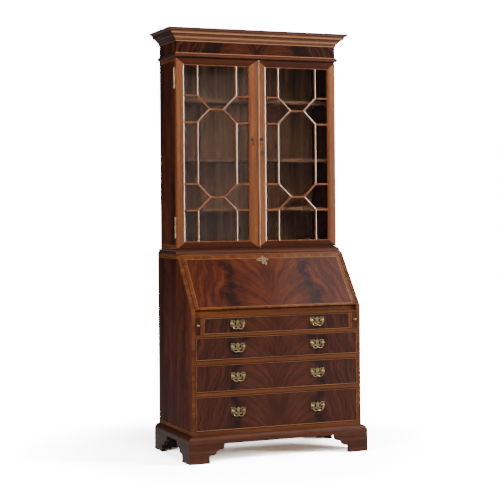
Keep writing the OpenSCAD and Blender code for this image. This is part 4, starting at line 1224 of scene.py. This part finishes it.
def makeDoorBrass():
    tree, names = buildScrewTree()
    screw = screwHead()
    leafFront, leafBack = 25.4, 26.9
    for side, word in hands:
        bm = bmesh.new()
        screws = []
        for z in hinge["feet"]:
            sideBox(bm, side, 445.5, 459.9, leafFront, leafBack, z, z + hinge["tall"])
            for i in (1, 3):
                low = z + hinge["knuckle"] * i
                sideBox(bm, side, 459.4, 464.6, leafFront, leafBack, low + 0.15, low + 21.85)
                tube = [(1.65, 0.15), (3.6, 0.15), (4.0, 0.55), (4.0, 21.45), (3.6, 21.85), (1.65, 21.85)]
                lathe(bm, tube, (side * hinge["x"], hinge["y"], low), (0, 0, 1), 24, wrap=True)
            screws += [(side * 452.5, 26.85, z + k) for k in (14, 55, 96)]
        knobX, knobZ = pull["x"][word], pull["z"]
        lathe(bm, rosetteShape, (knobX, 0, knobZ), (0, -1, 0), 32, slot=1)
        for x in (-5.4, 2.7):
            box(bm, (knobX + x, -16, knobZ - 3), (knobX + x + 2.7, -8.6, knobZ + 3), 1)
        box(bm, (knobX - 3, -9.4, knobZ - 2.8), (knobX + 3, -8.4, knobZ + 2.8), 1)
        if side > 0:
            keyhole = arc(0, 1.6, 2.4, -50, 230, 14) + [(-2.1, -5.0), (2.1, -5.0)]
            keyShape = [(0, 13.5), (3.6, 11.8), (6.8, 8.6), (8.3, 3.6), (7.2, -2.0), (8.0, -6.2),
                        (5.0, -10.4), (2.2, -11.6), (0, -14.2)]
            plate(bm, smoothLoop(mirrored(keyShape), 4), [keyhole], 1.6, onFront(key["x"], 0, key["z"]), 1)
            box(bm, (20.2, 8.2, 1587.2), (41.8, 17.8, 1612.8))
        body = "door_" + word.lower()
        piece("doorFittings" + word, bm, body, [metals["brass"], metals["dark"]], [body + "_fittings"],
              bevel=0.25, sharp=34)
        makeScrews("hingeScrews" + word, screws, (-math.pi / 2, 0, 0), body, tree, names, screw)
        bm = bmesh.new()
        lathe(bm, dropShape, (knobX, pull["y"], knobZ), (0, 0, 1), 24)
        lathe(bm, [(0, -5.4), (1.2, -5.4), (1.2, -2.1), (2.6, -2.1), (2.6, 2.1), (1.2, 2.1), (1.2, 5.4),
                   (0, 5.4)],
              (knobX, pull["y"], knobZ), (1, 0, 0), 20)
        piece("dropPull" + word, bm, "drop_pull_" + word.lower(), [metals["dark"]], [body + "_drop_pull"],
              sharp=40)
    bpy.data.objects.remove(screw)


# the key: a collared shank, and a bow that is an oval ring
def makeKey():
    bm = bmesh.new()
    shank = [(0, 0), (1.6, 0), (1.6, 17), (2.6, 17.3), (2.6, 18.6), (1.7, 19.2), (1.7, 21.5), (0, 22)]
    lathe(bm, shank, (key["x"], key["from"], key["z"]), (0, -1, 0), 20)
    rings = []
    for t in [math.radians(d) for d in range(0, 360, 15)]:
        ring = []
        for u in [math.pi * k / 5 for k in range(10)]:
            wide, tall = [radius + key["wire"] * math.cos(u) for radius in key["bow"]]
            y = key["bowY"] + key["wire"] * math.sin(u)
            ring.append((key["x"] + wide * math.sin(t), y, key["z"] + tall * math.cos(t)))
        rings.append(ring)
    loft(bm, rings + [rings[0]], caps=False)
    piece("doorKey", bm, "key", [metals["dark"]], ["door_key"], sharp=50)


makeDoorBrass()
makeKey()
print("door brass made")


# the fall's brass, drawn in its own closed plane and then tilted with it
fall = {"pivot": (0, -232.898, 772.972), "length": 339.08, "hinges": (-320, 0, 320), "keyholeDown": 34,
        "face": 18.05}
scrolls = [(0, 27), (2.6, 20), (4.5, 14.5), (9, 11.5), (15, 13), (22, 11), (28, 7), (29.5, 1), (25, -4),
           (18, -3), (13, -7),
           (14.5, -14), (17, -21), (15, -27), (11, -33), (6, -36.5), (4, -32), (2, -26), (-4, -24),
           (-10, -26), (-14, -22),
           (-12, -15), (-8, -9), (-13, -7.5), (-20, -9.5), (-25, -7), (-30, -9), (-37, -5), (-40, 1),
           (-36, 4.5), (-31, 3.5),
           (-28, 8.5), (-21, 12.5), (-15, 12), (-10, 17.5), (-5, 18), (-2.8, 22)]


def makeFallBrass():
    bm = bmesh.new()
    length = fall["length"]
    for x in fall["hinges"]:
        box(bm, (x - 25, 3.2, 0.1), (x + 25, 18.8, 1.5))
        for i in (1, 3):
            box(bm, (x - 24.85 + 10 * i, 0, 0.1), (x - 15.15 + 10 * i, 3.3, 1.5))
            lathe(bm, [(1.05, 0), (2.2, 0), (2.5, 0.3), (2.5, 9.4), (2.2, 9.7), (1.05, 9.7)],
                  (x - 24.85 + 10 * i, 0, 0), (1, 0, 0), 18, wrap=True, slot=1)
        for k in (-17, 0, 17):
            lathe(bm, [(0, 0), (2.2, 0), (2.0, 0.25), (0, 0.35)], (x + k, 12, 0.14), (0, 0, -1), 14)
    box(bm, (-39.9, length - 39.9, 0), (39.9, length, 8.9))
    keyhole = arc(0, 2.2, 2.6, -50, 230, 14) + [(-2.3, -5.6), (2.3, -5.6)]
    holes = [keyhole, ellipse(-17, 2.6, 7.4, 2.4, 14, 0.3), ellipse(16.5, 4.6, 5.4, 2.8, 14, -0.2),
             ellipse(-30.5, -1.6, 3.4, 1.8, 12, 0.2), ellipse(4.0, -16.5, 3.6, 4.6, 12, 0.5),
             ellipse(-6.5, -18.5, 2.2, 3.0, 12, 0.2)]
    plate(bm, smoothLoop(scrolls, 4), holes, 1.5,
          Matrix.Translation((0, length - fall["keyholeDown"], fall["face"])))
    tilt = Matrix.Translation(fall["pivot"]) @ Matrix.Rotation(desk["slope"], 4, "X")
    bmesh.ops.transform(bm, matrix=tilt, verts=bm.verts[:])
    piece("fallFittings", bm, "fall", [metals["brass"], metals["dark"]], ["fall_fittings"],
          bevel=0.3, sharp=34)


makeFallBrass()
print("fall brass made")


loper = {"x": 445.5, "half": 12.3, "front": -250, "back": 149, "z": (656.9, 753.97), "knobZ": 703.9}


def makeLopers():
    knob = [(0, -0.4), (5.2, -0.4), (5.2, 0.6), (3.6, 1.2), (2.3, 2.4), (2.1, 4.6), (2.9, 5.6)]
    knob += arc(0, 11.6, 6.2, -62, 82, 12) + [(0, 17.8)]
    wood = loperWood()
    x, half, front = loper["x"], loper["half"], loper["front"]
    for side, word in hands:
        bm = bmesh.new()
        sideBox(bm, side, x - half, x + half, front, loper["back"], *loper["z"])
        lathe(bm, knob, (side * x, front, loper["knobZ"]), (0, -1, 0), 24, slot=1)
        body = "loper_" + word.lower()
        piece("loper" + word, bm, body, [wood, metals["brass"]], [body], bevel=0.6, sharp=34)


makeLopers()
print("lopers made")
